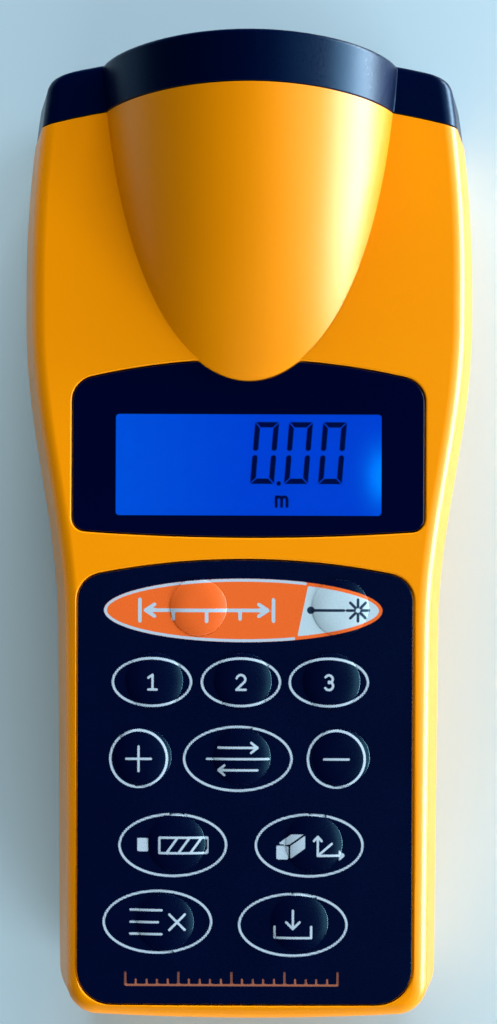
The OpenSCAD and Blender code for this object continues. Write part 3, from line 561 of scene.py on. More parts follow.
# Scale along the lower edge of the film, from the middle of that edge in millimetres
SCALE = [[(-16.9, 2.7), (13.3, 2.7)]] + [
    [(x, 2.7), (x, 2.7 + rise)]
    for x, rise in zip(np.linspace(-16.9, 13.3, 21), [1.8, 0.8, 0.8, 0.8, 0.8] * 4 + [1.8])
]

# Display, round the middle of its view in millimetres: middles of the zeros, their height, the reach of
# their mitres and their slant, the point with its radius, and the unit's letter
ZEROS = (2.27, 7.12, 11.98)
ZERO_RISE = 1.75
ZERO_REACH = 2.4
ZERO_SLANT = math.tan(math.radians(4.7))
POINT = (4.3, -2.61, 0.34)
UNIT_SIGN = [
    [(3.95, -5.9), (3.95, -4.5)],
    arc(4.34, -4.9, 0.39, 180, 0),
    [(4.73, -4.9), (4.73, -5.9)],
    arc(5.12, -4.9, 0.39, 180, 0),
    [(5.51, -4.9), (5.51, -5.9)],
]

# Swell of the backlight: strength, place and spread of the lamp at the right, and the rise to the left edge
LAMP_GLOW = (1.15, 19.3, -1.5, 2.3, 3.8)
LEFT_GLOW = (0.16, 19)

# Filled fields of the signs, their corners counter-clockwise
FACETS = {
    "area_key": [[(-5.05, -0.9), (-3.5, -0.9), (-3.5, 1.0), (-5.05, 1.0)]],
    "volume_key": [
        [(-4.67, -2.0), (-2.95, -2.0), (-2.95, -0.1), (-4.67, -0.1)],
        [(-4.55, 0.15), (-2.85, 0.15), (-0.85, 1.6), (-2.55, 1.6)],
        [(-2.7, -1.9), (-0.6, -0.35), (-0.6, 1.45), (-2.7, -0.05)],
    ],
}


def beside(x, y, start, end):
    """Distance to the right of the line from one point to another."""
    (ax, ay), (bx, by) = start, end
    return ((x - ax) * (by - ay) - (y - ay) * (bx - ax)) / math.hypot(bx - ax, by - ay)


def facet(x, y, corners):
    """Distance to a convex field: the largest of the distances outside the lines through its edges."""
    best = np.full(x.shape, -FAR)
    for start, end in zip(corners, corners[1:] + corners[:1]):
        best = np.maximum(best, beside(x, y, start, end))
    return best


def plan_of(mesh):
    """Places of a mesh's points in the plan, in millimetres."""
    points = np.empty(len(mesh.vertices) * 3, np.float32)
    mesh.vertices.foreach_get("co", points)
    return (points.reshape(-1, 3)[:, :2] / MM).T.astype(float)


def store(mesh, layers):
    """Keeps named values at a mesh's points for its material."""
    for name, values in layers.items():
        layer = mesh.attributes.new(name, "FLOAT", "POINT")
        layer.data.foreach_set("value", values.astype(np.float32))


def set_prints(piece):
    """Stores the print's distances at a piece's points: light lines, orange and pale field, dark sign, scale."""
    x, y = plan_of(piece.data)
    cx, cy = KEY_PLACES["measure_key"] / MM
    fx, fy = x - cx - FIELD[0], y - cy - FIELD[1]
    field = oval(fx, fy, FIELD[2], FIELD[3])
    side = beside(fx, fy, *DIVIDER)
    lines = np.maximum(np.abs(field + BORDER_HALF) - BORDER_HALF, side)
    lines = np.minimum(lines, strokes(fx, fy, SPAN_SIGN, STROKE["span"]))
    for key, (dx, dy, width, height) in RINGS.items():
        cx, cy = KEY_PLACES[key] / MM
        px, py = x - cx - dx, y - cy - dy
        lines = np.minimum(lines, np.abs(oval(px, py, width, height) + RING_HALF) - RING_HALF)
        lines = np.minimum(lines, strokes(px, py, SIGNS[key], STROKE["key"]))
        for corners in FACETS.get(key, ()):
            lines = np.minimum(lines, facet(px, py, corners))
    low, high = SPAN["keypad_film"] / MM
    beam = strokes(fx, fy, BEAM_SIGN, STROKE["beam"])
    prints = {
        "lines": lines,
        "orange": field,
        "pale": np.maximum(field + PALE_INSET, PALE_GAP - side),
        "beam": np.minimum(beam, strokes(fx, fy, BEAM_SIGN[:1], STROKE["dot"])),
        "scale": strokes(x - (low[0] + high[0]) / 2, y - low[1], SCALE, STROKE["scale"]),
    }
    store(piece.data, prints)


# Materials


def add(tree, kind, inputs=(), output=0, **settings):
    """Adds a node with its settings; inputs are values or sockets to link. Gives one of its outputs."""
    node = tree.nodes.new("ShaderNode" + kind)
    for key, value in settings.items():
        setattr(node, key, value)
    for key, value in dict(inputs).items():
        if isinstance(value, bpy.types.NodeSocket):
            tree.links.new(value, node.inputs[key])
        else:
            node.inputs[key].default_value = value
    return node.outputs[output] if node.outputs else None


def new_material(name):
    """Empty node material and its Object coordinates."""
    material = bpy.data.materials.get(name) or bpy.data.materials.new(name)
    material.use_nodes = True
    tree = material.node_tree
    tree.nodes.clear()
    return material, tree, add(tree, "TexCoord", output="Object")


def noise(tree, place, width, detail):
    """Noise whose patches are about a width across."""
    return add(tree, "TexNoise", {"Vector": place, "Scale": 1 / width, "Detail": detail})


def remap(tree, value, start, end, low, high):
    """Value carried from the range between start and end to that between low and high."""
    return add(tree, "MapRange", {0: value, 1: start, 2: end, 3: low, 4: high})


def blend(tree, factor, first, second):
    """Colour between two, by a factor."""
    return add(tree, "Mix", {0: factor, 6: first, 7: second}, 2, data_type="RGBA")


def layer_of(tree, name):
    """Values that a piece keeps at its points under a name."""
    return add(tree, "Attribute", attribute_name=name, output="Fac")


def surfaced(material, tree, inputs):
    """Material closed with a Principled surface of these inputs."""
    add(tree, "OutputMaterial", {"Surface": add(tree, "BsdfPrincipled", inputs)})
    return material


def moulded(name, light, deep, rough, grain, bump, metallic=0.0, spread=0.06, gloss=0.5, tint=(1, 1, 1, 1)):
    """Moulded, cast or rolled surface: two close colours in wide soft patches, and a fine grain that breaks
    the gloss and dents the surface. The grain is its width in millimetres."""
    material, tree, place = new_material(name)
    fine = noise(tree, place, grain * MM, 2.0)
    patch, dent = 28 * MM, 0.04 * MM
    wide = noise(tree, place, patch, 3.0)
    inputs = {
        "Base Color": blend(tree, wide, light, deep),
        "Roughness": remap(tree, fine, 0.3, 0.7, rough - spread, rough + spread),
        "Normal": add(tree, "Bump", {"Height": fine, "Strength": bump, "Distance": dent}),
        "Metallic": metallic,
        "Specular IOR Level": gloss,
        "Specular Tint": tint,
    }
    return surfaced(material, tree, inputs)


def case_plastic(c):
    """Moulded ABS, fine spark-eroded grain: satin, with a broad soft highlight and faint colour drift."""
    look = {"rough": 0.37, "grain": 0.26, "bump": 0.2, "gloss": 0.38}
    return moulded("moulded ABS, yellow", tuple(c.case), tuple(c.case_deep), **look)


def cap_plastic(c):
    """Moulded ABS, black: a coarser grain that scatters the window light into a cool sheen."""
    look = {"rough": 0.34, "grain": 0.28, "bump": 0.2, "spread": 0.07, "gloss": 0.2}
    return moulded("moulded ABS, black", tuple(c.cap), linear("#00082A"), tint=linear("#59CBFF"), **look)


def black_acrylic():
    """Back-printed acrylic sheet: black, mirror smooth, with a faint haze of handling."""
    look = {"rough": 0.09, "grain": 6, "bump": 0.0, "spread": 0.04}
    return moulded("acrylic, black printed", linear("#000427"), linear("#000629"), **look)


def clear_acrylic():
    """Clear acrylic: lets the display through and mirrors the studio faintly."""
    material, tree, place = new_material("acrylic, clear")
    haze = noise(tree, place, 5 * MM, 3.0)
    inputs = {
        "Base Color": (0.94, 0.97, 1.0, 1.0),
        "Roughness": remap(tree, haze, 0.3, 0.7, 0.0, 0.05),
        "IOR": 1.49,
        "Transmission Weight": 1.0,
    }
    return surfaced(material, tree, inputs)


def lit_display(c):
    """Liquid crystal glass over an edge-lit guide: blue light that swells by the lamp, dark mitred segments."""
    material, tree, _ = new_material("liquid crystal glass, backlit")
    solid = remap(tree, layer_of(tree, "ink"), -0.04, 0.04, 1.0, 0.0)
    gap = add(tree, "Math", {0: layer_of(tree, "mitre")}, operation="ABSOLUTE")
    whole = remap(tree, gap, 0.04, 0.1, 0.0, 1.0)
    dark = add(tree, "Math", {0: solid, 1: whole}, operation="MULTIPLY")
    lamp = blend(tree, layer_of(tree, "light"), tuple(c.glow), linear("#0082FF"))
    inputs = {
        "Base Color": linear("#020816"),
        "Roughness": 0.2,
        "Emission Color": blend(tree, dark, lamp, tuple(c.ink)),
        "Emission Strength": 1.12,
    }
    return surfaced(material, tree, inputs)


def printed_film(c):
    """Polyester film printed on its back: deep navy ground with crisp light lines and a fine matt texture."""
    material, tree, place = new_material("polyester film, printed")
    fine = noise(tree, place, 0.3 * MM, 2.0)
    wide = noise(tree, place, 9 * MM, 2.0)
    tone = blend(tree, wide, tuple(c.film), linear("#02082C"))
    inks = {
        "scale": tuple(c.bronze),
        "orange": tuple(c.orange),
        "pale": tuple(c.pale),
        "beam": linear("#20304A"),
        "lines": tuple(c.line),
    }
    for name, shade in inks.items():
        covered = remap(tree, layer_of(tree, name), -0.05, 0.05, 1.0, 0.0)
        tone = blend(tree, covered, tone, shade)
    inputs = {
        "Base Color": tone,
        "Roughness": remap(tree, fine, 0.3, 0.7, 0.25, 0.31),
        "Normal": add(tree, "Bump", {"Height": fine, "Strength": 0.02, "Distance": 0.03 * MM}),
        "Specular IOR Level": 0.8,
        "Specular Tint": linear("#7CD4EA"),
    }
    return surfaced(material, tree, inputs)


# Operators


class MeterMaker(bpy.types.Operator):
    """Base of the operators: gives the sizes and colours, and calls make."""

    def execute(self, context):
        self.make(context.scene.meter_sizes, context.scene.meter_colours)
        return {"FINISHED"}


class METER_OT_front_shell(MeterMaker):
    """Front moulding: lofted from drafted outlines, joined to the nose and cut for panels, keys and cap."""

    bl_idname = "meter.front_shell"
    bl_label = "Front shell"

    def make(self, s, c):
        inset = face_inset(s)
        insets = [SEAM_CHAMFER, 0, *(inset + s.face_round * (1 - np.cos(QUARTER)))]
        heights = [SEAM, SEAM + SEAM_CHAMFER, *(FACE - s.face_round + s.face_round * np.sin(QUARTER))]
        shell = loft("front_moulding", case_rings(s, insets, heights))
        roof = FACE - s.wall
        turn = QUARTER[::3]
        insets = [s.wall, *(s.wall + inset + INNER_ROUND * (1 - np.cos(turn)))]
        heights = [SEAM - PAST, *(roof - INNER_ROUND + INNER_ROUND * np.sin(turn))]
        hollow = loft("hollow", case_rings(s, insets, heights))
        lens_gap, film_gap, view_gap = 0.2 * MM, 0.25 * MM, 0.6 * MM
        lens_bed = SPAN["display_lens"][0, 2] - 0.05 * MM
        film_bed = SPAN["keypad_film"][0, 2]
        nose_root = FACE - 2.1 * MM
        carve(
            shell,
            ("DIFFERENCE", recess(s, lens_plan(s), lens_gap, lens_bed)),
            ("DIFFERENCE", recess(s, film_plan(), film_gap, film_bed)),
            ("UNION", nose_solid(s, 0, nose_root)),
            ("DIFFERENCE", hollow),
            ("DIFFERENCE", nose_solid(s, -s.wall, roof - PAST)),
            ("DIFFERENCE", view_box(s, view_gap, roof - PAST, FACE + PAST)),
            ("DIFFERENCE", key_cutters(key_radius(KEYS[0]), roof - PAST, FACE + PAST)),
            ("DIFFERENCE", front_cutter(s, s.cap_length)),
        )
        dress(shell, case_plastic(c), "case", ["front_shell"])


def screw_places():
    """Centres of the case screws: the lower pair nearer the middle, the upper pair at the head's sides."""
    low, high = SPAN["case_screws"]
    radius = 2.7 * MM
    head = high[0] - radius
    grip = 19.5 * MM
    return [
        (-grip, low[1] + radius),
        (grip, low[1] + radius),
        (-head, high[1] - radius),
        (head, high[1] - radius),
    ]


class METER_OT_rear_shell(MeterMaker):
    """Rear moulding: lofted back, hollow, battery bay, door slot and screw seats."""

    bl_idname = "meter.rear_shell"
    bl_label = "Rear shell"

    def make(self, s, c):
        insets, heights = back_edge(s)
        rings = case_rings(s, insets + [0, SEAM_CHAMFER], heights + [SEAM - SEAM_CHAMFER, SEAM])
        shell = loft("rear_moulding", rings)
        turn = QUARTER[::3]
        insets = [*(s.wall + back_inset(s) + INNER_ROUND * (1 - np.sin(turn))), s.wall]
        heights = [*(s.wall + INNER_ROUND - INNER_ROUND * np.cos(turn)), SEAM + PAST]
        hollow = loft("hollow", case_rings(s, insets, heights))
        places = screw_places()
        floor = 1.2 * MM
        seat, head, bore = 3.8 * MM, 3 * MM, 1.5 * MM
        head_end, bore_start = 7 * MM, 6 * MM
        bay = self.bay(floor)
        carve(
            shell,
            ("DIFFERENCE", hollow),
            ("UNION", bay["rails"]),
            ("UNION", bay["walls"]),
            ("UNION", rods("seat", places, seat, floor, SEAM - 0.05 * MM, 48)),
            ("DIFFERENCE", bay["bay"]),
            ("DIFFERENCE", bay["opening"]),
            ("DIFFERENCE", bay["slot"]),
            ("DIFFERENCE", rods("seat", places, head, -PAST, head_end, 48)),
            ("DIFFERENCE", rods("seat", places, bore, bore_start, SEAM + PAST, 48)),
            ("DIFFERENCE", front_cutter(s, s.cap_length)),
        )
        dress(shell, case_plastic(c), "case", ["rear_shell"])

    def bay(self, floor):
        """Boxes of the battery bay: rails beside the door, walls, the bay, and the door's opening and slot."""
        low, high = SPAN["battery_door"]
        half = high[0] - 1.9 * MM
        back = SPAN["battery"][0, 1] - 0.3 * MM
        front = high[1] + 0.2 * MM
        side, rail, gap = 1.2 * MM, 1 * MM, 0.15 * MM
        narrow = DOOR_LIP - gap
        out, rail_start = HEEL - 2 * MM, HEEL + 3 * MM
        rail_top, opening_top, slot_foot = 4 * MM, 2 * MM, 1 * MM
        corners = {
            "rails": ((low[0] - rail, rail_start, floor), (high[0] + rail, front + rail, rail_top)),
            "walls": ((-half - side, back - side, floor), (half + side, front + side, SEAM - 0.1 * MM)),
            "bay": ((-half, back, -PAST), (half, front, SEAM + PAST)),
            "opening": ((low[0] + narrow, out, -PAST), (high[0] - narrow, front, opening_top)),
            "slot": ((low[0] - gap, out, slot_foot), (high[0] + gap, front, high[2] + 0.1 * MM)),
        }
        return {name: block(name, *pair) for name, pair in corners.items()}


class METER_OT_front_cap(MeterMaker):
    """Black cap: one closed skin of loops round the case, from the joint over the front plate, through the
    mouth and back along the inside."""

    bl_idname = "meter.front_cap"
    bl_label = "Front cap"

    def make(self, s, c):
        back = s.cap_length - JOINT
        edge = s.cap_edge
        lip, ledge, plate = 0.7 * MM, 1.2 * MM, 3.6 * MM
        turn = np.radians(np.linspace(0, 90, 7))[1:]
        sides = np.concatenate([np.linspace(back - JOINT, 3 * MM, 6), np.linspace(2.7 * MM, edge, 12)])
        loops = [self.loop(s, back, JOINT)]
        loops += [self.loop(s, b, 0) for b in sides]
        loops += [self.loop(s, edge * (1 - np.sin(t)), edge * (1 - np.cos(t))) for t in turn]
        rim = loops[-1]
        angle = np.arctan2(rim[:, 2] - s.horn_height, rim[:, 0])
        for t in np.linspace(0, 1, 8)[1:]:
            flat = rim[:, [0, 2]] * (1 - t) + self.circle(s, angle, s.horn_radius + lip) * t
            loops.append(self.front(s, flat, 0))
        for t in turn:
            flat = self.circle(s, angle, s.horn_radius + lip * (1 - np.sin(t)))
            loops.append(self.front(s, flat, lip * (1 - np.cos(t))))
        seat = SPAN["horn"][1, 1] + 0.05 * MM
        for radius in (s.horn_radius, s.horn_radius + ledge):
            ring = self.circle(s, angle, radius)
            loops.append(np.column_stack([ring[:, 0], np.full(len(ring), seat), ring[:, 1]]))
        wall = self.loop(s, plate, s.wall)[:, [0, 2]]
        loops += [self.front(s, ring * (1 - t) + wall * t, plate) for t in (0.5, 1.0)]
        loops += [self.loop(s, b, s.wall) for b in np.linspace(plate, back, 5)[1:]]
        skin = np.stack(loops)
        cap = new_piece("front_cap_moulding", skin, grid(*skin.shape[:2], around=True, along=True).tolist())
        beam = SPAN["laser_barrel"].mean(0)
        hole = np.array([[0, -20], [1.8, -20], [1.8, 4.2], [2.6, 5.0], [2.6, 20], [0, 20]]) * MM
        start = NOSE - sag(s, beam[0]) - 4.6 * MM
        carve(cap, ("DIFFERENCE", revolve("beam hole", hole, (beam[0], start, beam[2]), axis=1, sides=48)))
        dress(cap, cap_plastic(c), "case", ["front_cap"])

    def circle(self, s, angle, radius):
        """Points round the horn's axis, across and up."""
        return np.stack([radius * np.cos(angle), s.horn_height + radius * np.sin(angle)], -1)

    def front(self, s, flat, depth):
        """Points on the bowed front, a depth behind it."""
        return np.column_stack([flat[:, 0], NOSE - depth - sag(s, flat[:, 0]), flat[:, 1]])

    def half_side(self, s, b):
        """Half width of the cap a length behind the bowed front: plan corner arc, then the case's side. The
        corner's centre is where circles round the two arcs' centres, each smaller by the corner, meet."""
        r = s.cap_corner
        front = np.array([0, NOSE - s.front_arc])
        side = np.array([s.head_width / 2 - s.side_radius, NOSE - s.crown_back])
        ra, rb = s.front_arc - r, s.side_radius - r
        apart = side - front
        span = np.hypot(*apart)
        along = (ra**2 - rb**2 + span**2) / (2 * span)
        away = np.sqrt(ra**2 - along**2) * np.array([apart[1], -apart[0]]) / span
        foot = front + along * apart / span
        centre = foot + away if foot[0] + away[0] >= 0 else foot - away
        start = np.arctan2(*(centre - front)[::-1])
        end = np.arctan2(*(centre - side)[::-1])
        a = np.linspace(start, end, 40)
        corner_y = centre[1] + r * np.sin(a)
        side_y = np.linspace(corner_y[-1], NOSE - 20 * MM, 40)[1:]
        x = np.concatenate([centre[0] + r * np.cos(a), half_width(s, side_y)])
        y = np.concatenate([corner_y, side_y])
        return np.interp(b, NOSE - sag(s, x) - y, x)

    def loop(self, s, b, d):
        """Section of the cap along the bowed line b behind the front, drawn in by d: back, side, wing and nose.
        A smooth maximum of wing and nose gives the crease its small fillet."""
        half = self.half_side(s, b) - JOINT
        least = 0.2 * MM
        foot = half - back_inset(s) - s.back_round
        low = max(s.back_round - d, least)
        top = half - face_inset(s) - s.face_round
        high = max(s.face_round - d, least)
        x = [np.linspace(0, foot, 13)[:-1], foot + low * np.sin(QUARTER), [half - d], top + high * np.cos(QUARTER)]
        z = [np.full(12, d), d + low - low * np.cos(QUARTER), [SEAM], FACE - d - high + high * np.sin(QUARTER)]
        radius = s.nose_radius - d
        crease = 20.4 * MM  # first guess, settled by the loop
        for _ in range(6):
            crease = nose_side(s, NOSE - b - sag(s, crease), FACE - d, radius)
        near, fillet = 0.7 * MM, 0.6 * MM
        turn = np.linspace(np.arcsin((crease - near) / radius), 0, 45)
        wing = np.linspace(top, crease + near, 8)[1:-1]
        bend = np.linspace(crease + near, crease - near, 24)[:-1]
        over = np.concatenate([wing, bend, radius * np.sin(turn)])
        nose = nose_height(s, over, NOSE - b - sag(s, over), radius)
        close = np.maximum(fillet - np.abs(nose - FACE + d), 0)
        x.append(over)
        z.append(np.maximum(nose, FACE - d) + close**2 / (4 * fillet))
        right = np.stack([np.concatenate(x), np.concatenate(z)], -1)
        ring = np.concatenate([right, right[-2:0:-1] * (-1, 1)])
        return self.front(s, ring, b)


class METER_OT_horn(MeterMaker):
    """Sound horn turned about its axis: a flare r = throat (mouth / throat)^t, a flange behind the cap and a
    sleeve that holds the transducer."""

    bl_idname = "meter.horn"
    bl_label = "Sound horn"

    def make(self, s, c):
        low, high = SPAN["horn"]
        wall = 1.2 * MM
        sleeve = SPAN["transducer_boot"][1, 0] + 0.05 * MM
        throat = high[1] - s.flare_length
        t = np.linspace(1, 0, 41)
        flare = s.throat_radius * (s.horn_radius / s.throat_radius) ** t
        y = throat + s.flare_length * t
        back = slice(34, 4, -1)  # stations of the outside, from the throat to behind the flange
        outside = np.maximum(flare[back] + wall, sleeve + wall)
        profile = np.concatenate(
            [
                np.stack([flare, y], -1),
                [[sleeve, throat], [sleeve, low[1]], [sleeve + wall, low[1]]],
                np.stack([outside, y[back]], -1),
                [[high[0], high[1] - wall], [high[0], high[1]]],
            ]
        )
        horn = revolve("horn_moulding", profile, (0, 0, s.horn_height), axis=1, sides=128, ring=True)
        dress(horn, cap_plastic(c), "case", ["horn"])


class METER_OT_display(MeterMaker):
    """Display: black-bordered lens with a notch for the nose, clear pane, and lit glass with its segments."""

    bl_idname = "meter.display"
    bl_label = "Display"

    def make(self, s, c):
        edge, play = 0.2 * MM, 0.01 * MM
        low = SPAN["display_lens"][0, 2]
        grows = [0, *(edge * (np.cos(QUARTER) - 1))]
        heights = [low, *(LENS_TOP - edge + edge * np.sin(QUARTER))]
        border = loft("lens_border", panel_rings(lens_plan(s), grows, heights))
        carve(
            border,
            ("DIFFERENCE", view_box(s, 0, low - PAST, LENS_TOP + PAST)),
            ("DIFFERENCE", nose_solid(s, JOINT, low - PAST)),
        )
        dress(border, black_acrylic(), "case", ["display_lens"])
        pane = view_box(s, -play, low, LENS_TOP - play)
        pane.name = "lens_pane"
        dress(pane, clear_acrylic(), "case", ["display_lens"])
        self.glass(s, c)

    def glass(self, s, c):
        """Glass plate: a fine grid on top with the segments' distances, walls and a flat underside."""
        low, high = SPAN["lcd_glass"]
        rows, columns = 115, 241
        x = np.linspace(low[0], high[0], columns)
        y = np.linspace(low[1], high[1], rows)
        top = np.stack([*np.meshgrid(x, y), np.full((rows, columns), high[2])], -1)
        ids = np.arange(rows * columns).reshape(rows, columns)
        loop = np.concatenate([ids[0], ids[1:, -1], ids[-1, -2::-1], ids[-2:0:-1, 0]])
        foot = top.reshape(-1, 3)[loop] * (1, 1, 0) + (0, 0, low[2])
        start = ids.size + np.arange(len(loop))
        walls = np.stack([loop, np.roll(loop, -1), np.roll(start, -1), start], -1)
        faces = grid(rows, columns).tolist() + walls.tolist() + [start[::-1].tolist()]
        plate = new_piece("lit_glass", np.concatenate([top.reshape(-1, 3), foot]), faces)
        px, py = plan_of(plate.data)
        py -= (NOSE - s.view_back) / MM
        ink = strokes(px, py, UNIT_SIGN, STROKE["unit"])
        ink = np.minimum(ink, np.hypot(px - POINT[0], py - POINT[1]) - POINT[2])
        mitre = np.full(px.shape, FAR)
        for middle in ZEROS:
            across, up = px - middle, py - ZERO_RISE
            zero_ink, zero_mitre = self.zero(across, up)
            mitre = np.where(np.abs(across - up * ZERO_SLANT) < ZERO_REACH, zero_mitre, mitre)
            ink = np.minimum(ink, zero_ink)
        strength, lamp_x, lamp_y, wide, tall = LAMP_GLOW
        right = strength * np.exp(-(((px - lamp_x) / wide) ** 2) - ((py - lamp_y) / tall) ** 2)
        left = LEFT_GLOW[0] * np.clip(-px / LEFT_GLOW[1], 0, 1)
        store(plate.data, {"ink": ink, "mitre": mitre, "light": right + left})
        dress(plate, lit_display(c), "case", ["lcd_glass"])

    def zero(self, x, y):
        """Figure of six slanted segments: a frame less its mid-height gaps, and the distance to its mitres."""
        width, height, stroke = 3.43, 8.85, 0.77
        gap, slope = 0.25, 0.6
        x = np.abs(x - y * ZERO_SLANT)
        y = np.abs(y)
        outer = np.maximum(x - width / 2, y - height / 2)
        inner = np.maximum(x - width / 2 + stroke, y - height / 2 + stroke)
        middle = gap + slope * np.abs(x - width / 2 + stroke / 2) - y
        ink = np.maximum(np.maximum(outer, -inner), middle)
        return ink, ((x - width / 2) - (y - height / 2)) / math.sqrt(2)


class METER_OT_keypad(MeterMaker):
    """Keypad: printed film with holes for its embossed pads, and the twelve pads on their keys."""

    bl_idname = "meter.keypad"
    bl_label = "Keypad"

    def make(self, s, c):
        material = printed_film(c)
        film = self.film()
        set_prints(film)
        dress(film, material, "case", ["keypad_film"])
        for key in KEYS:
            pad = self.pad(s, key)
            set_prints(pad)
            dress(pad, material, key, [key], angle=40)

    def film(self):
        """Film: a triangulated net between its outline and the pads' circles, rounded edges and a flat back."""
        plan = film_plan()
        low = SPAN["keypad_film"][0, 2]
        edge = 0.1 * MM
        drops = edge * (1 - np.cos(QUARTER[::2]))
        backs = edge * (1 - np.sin(QUARTER[::2]))
        outlines = [(panel_plan(plan, -back), FILM_TOP - drop) for back, drop in zip(backs, drops)]
        outlines.append((outlines[-1][0], low))
        turn = np.radians(np.arange(0, 360, 5))
        spokes = np.stack([np.cos(turn), np.sin(turn)], -1)
        families = [outlines]
        centres = np.array(list(KEY_PLACES.values()))
        for centre in centres:
            rim = centre + FILM_HOLE * spokes
            families.append([(rim, FILM_TOP), (rim, low)])
        step = 0.27 * MM
        x = np.arange(plan[7] - plan[0] / 2 + step, plan[7] + plan[0] / 2, step)
        y = np.arange(plan[1] + step, plan[2], step)
        net = np.stack(np.meshgrid(x, y), -1).reshape(-1, 2)
        gaps = np.hypot(*(net[:, None] - centres[None]).transpose(2, 0, 1)).min(1)
        net = net[(gaps > FILM_HOLE + 0.7 * step) & inside(net, panel_plan(plan, -edge - 0.6 * step))]
        points, faces = self.net([family[0][0] for family in families], net, centres)
        all_points = [np.column_stack([points, np.full(len(points), FILM_TOP)])]
        all_faces = list(faces)
        count = len(points)
        start = 0
        floor = []
        for family in families:
            size = len(family[0][0])
            before = start + np.arange(size)
            start += size
            for ring, z in family[1:]:
                after = count + np.arange(size)
                all_points.append(np.column_stack([ring, np.full(size, z)]))
                all_faces += np.stack([before, np.roll(before, -1), np.roll(after, -1), after], -1).tolist()
                before = after
                count += size
            floor.append(before)
        _, faces = self.net([family[-1][0] for family in families], np.empty((0, 2)), centres)
        all_faces += np.concatenate(floor)[np.array(faces)].tolist()
        return new_piece("keypad_print", np.concatenate(all_points), all_faces)

    def net(self, loops, extra, centres):
        """Triangles between closed loops and loose points, none of them inside the holes."""
        points = np.concatenate([*loops, extra]) / MM
        edges = []
        start = 0
        for loop in loops:
            ids = start + np.arange(len(loop))
            edges += np.stack([ids, np.roll(ids, -1)], -1).tolist()
            start += len(loop)
        made = delaunay_2d_cdt([tuple(p) for p in points.tolist()], edges, [], 0, 1e-5)
        out = np.array([tuple(p) for p in made[0]])
        if len(out) != len(points):
            raise RuntimeError("the film's net merged points")
        faces = np.array(made[2])
        middle = out[faces].mean(1) * MM
        gaps = np.hypot(*(middle[:, None] - centres[None]).transpose(2, 0, 1)).min(1)
        return out * MM, faces[gaps > FILM_HOLE * 0.999].tolist()

    def pad(self, s, key):
        """Pad and stem turned about the key's axis: a crown 1 - t^3.2 with a narrow sloped rim, and a collar."""
        low = SPAN[key][0, 2]
        collar = key_radius(key)
        slope, rim_rise, thick, stem_drop = 0.1 * MM, 0.08 * MM, 1 * MM, 0.4 * MM
        foot = FILM_TOP + 0.01 * MM
        t = np.linspace(0, 1, 34)
        crown = foot + rim_rise + (s.pad_rise - rim_rise) * (1 - t**3.2)
        inner = PAD_RIM - slope
        stem = np.array([[PAD_RIM, foot], [PAD_RIM, foot - stem_drop], [inner, low + thick]])
        under = np.array([[collar, low + thick], [collar, low], [0, low]])
        profile = np.concatenate([np.stack([inner * t, crown], -1), stem, under])
        return revolve(key + "_pad", profile, (*KEY_PLACES[key], 0), sides=96)


class METER_OT_key_mat(MeterMaker):
    """Silicone mat under the keys: a sheet on the board with twelve hollow domes."""

    bl_idname = "meter.key_mat"
    bl_label = "Key mat"

    def make(self, s, c):
        low, high = SPAN["key_mat"]
        look = {"rough": 0.6, "grain": 0.7, "bump": 0.12}
        silicone = moulded("silicone, moulded", linear("#9DA2A8"), linear("#8F949B"), **look)
        base = key_radius("plus_key") - 0.05 * MM
        sheet = 1 * MM
        top = (high[0], high[1], low[2] + sheet)
        web = carve(block("mat_web", low, top), ("DIFFERENCE", key_cutters(base, low[2] - PAST, high[2])))
        dress(web, silicone, "case", ["key_mat"])
        for key in KEYS:
            dome = self.dome(key, base, low[2], high[2])
            dress(dome, silicone, "case", ["key_mat"])
            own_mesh(dome)

    def dome(self, key, base, low, high):
        """Hollow cone turned about the key's axis, with a rounded shoulder: r = r1 + e sin a, z = z1 + e cos a."""
        edge, skin = 0.4 * MM, 0.8 * MM
        crown, bore, foot, heel = base - 1.4 * MM, base - 1.6 * MM, base - 0.6 * MM, 0.5 * MM
        shoulder = np.stack([crown + edge * np.sin(QUARTER), high - edge + edge * np.cos(QUARTER)], -1)
        skirt = np.array([[base, low + heel], [base, low], [foot, low]])
        hollow = np.array([[bore, high - skin], [0, high - skin]])
        profile = np.concatenate([[[0, high]], shoulder, skirt, hollow])
        return revolve("contact_dome_" + key, profile, (*KEY_PLACES[key], 0), sides=64)


class METER_OT_battery_door(MeterMaker):
    """Battery door: the back's own skin between its tongues, with a row of rounded grip grooves."""

    bl_idname = "meter.battery_door"
    bl_label = "Battery door"

    def make(self, s, c):
        low, high = SPAN["battery_door"]
        insets, heights = back_edge(s)
        door = loft("door_moulding", case_rings(s, insets + [0], heights + [SEAM]))
        right, left = high[0] - DOOR_LIP, low[0] + DOOR_LIP
        x = [right, right, high[0], high[0], low[0], low[0], left, left]
        z = np.array([-1, 1.05, 1.05, 1.95, 1.95, 1.05, 1.05, -1]) * MM
        section = np.stack([np.column_stack([x, np.full(8, y), z]) for y in (HEEL - 5 * MM, high[1])])
        carve(door, ("INTERSECT", loft("section", section)), ("DIFFERENCE", self.grooves(high[1])))
        dress(door, case_plastic(c), "battery_door", ["battery_door"])

    def grooves(self, end):
        """Row of oval rods across the door, counted from its inner end."""
        count, first, pitch = 6, 7.8 * MM, 2.2 * MM
        half, wide, deep = 7.2 * MM, 0.6 * MM, 0.5 * MM
        a = np.radians(np.arange(0, 360, 20))
        made = []
        for i in range(count):
            y, z = wide * np.cos(a) + (end - first - pitch * i), deep * np.sin(a)
            rings = [np.column_stack([np.full(len(a), x), y, z]) for x in (-half, half)]
            made.append(loft("groove", np.stack(rings)))
        return joined(made)


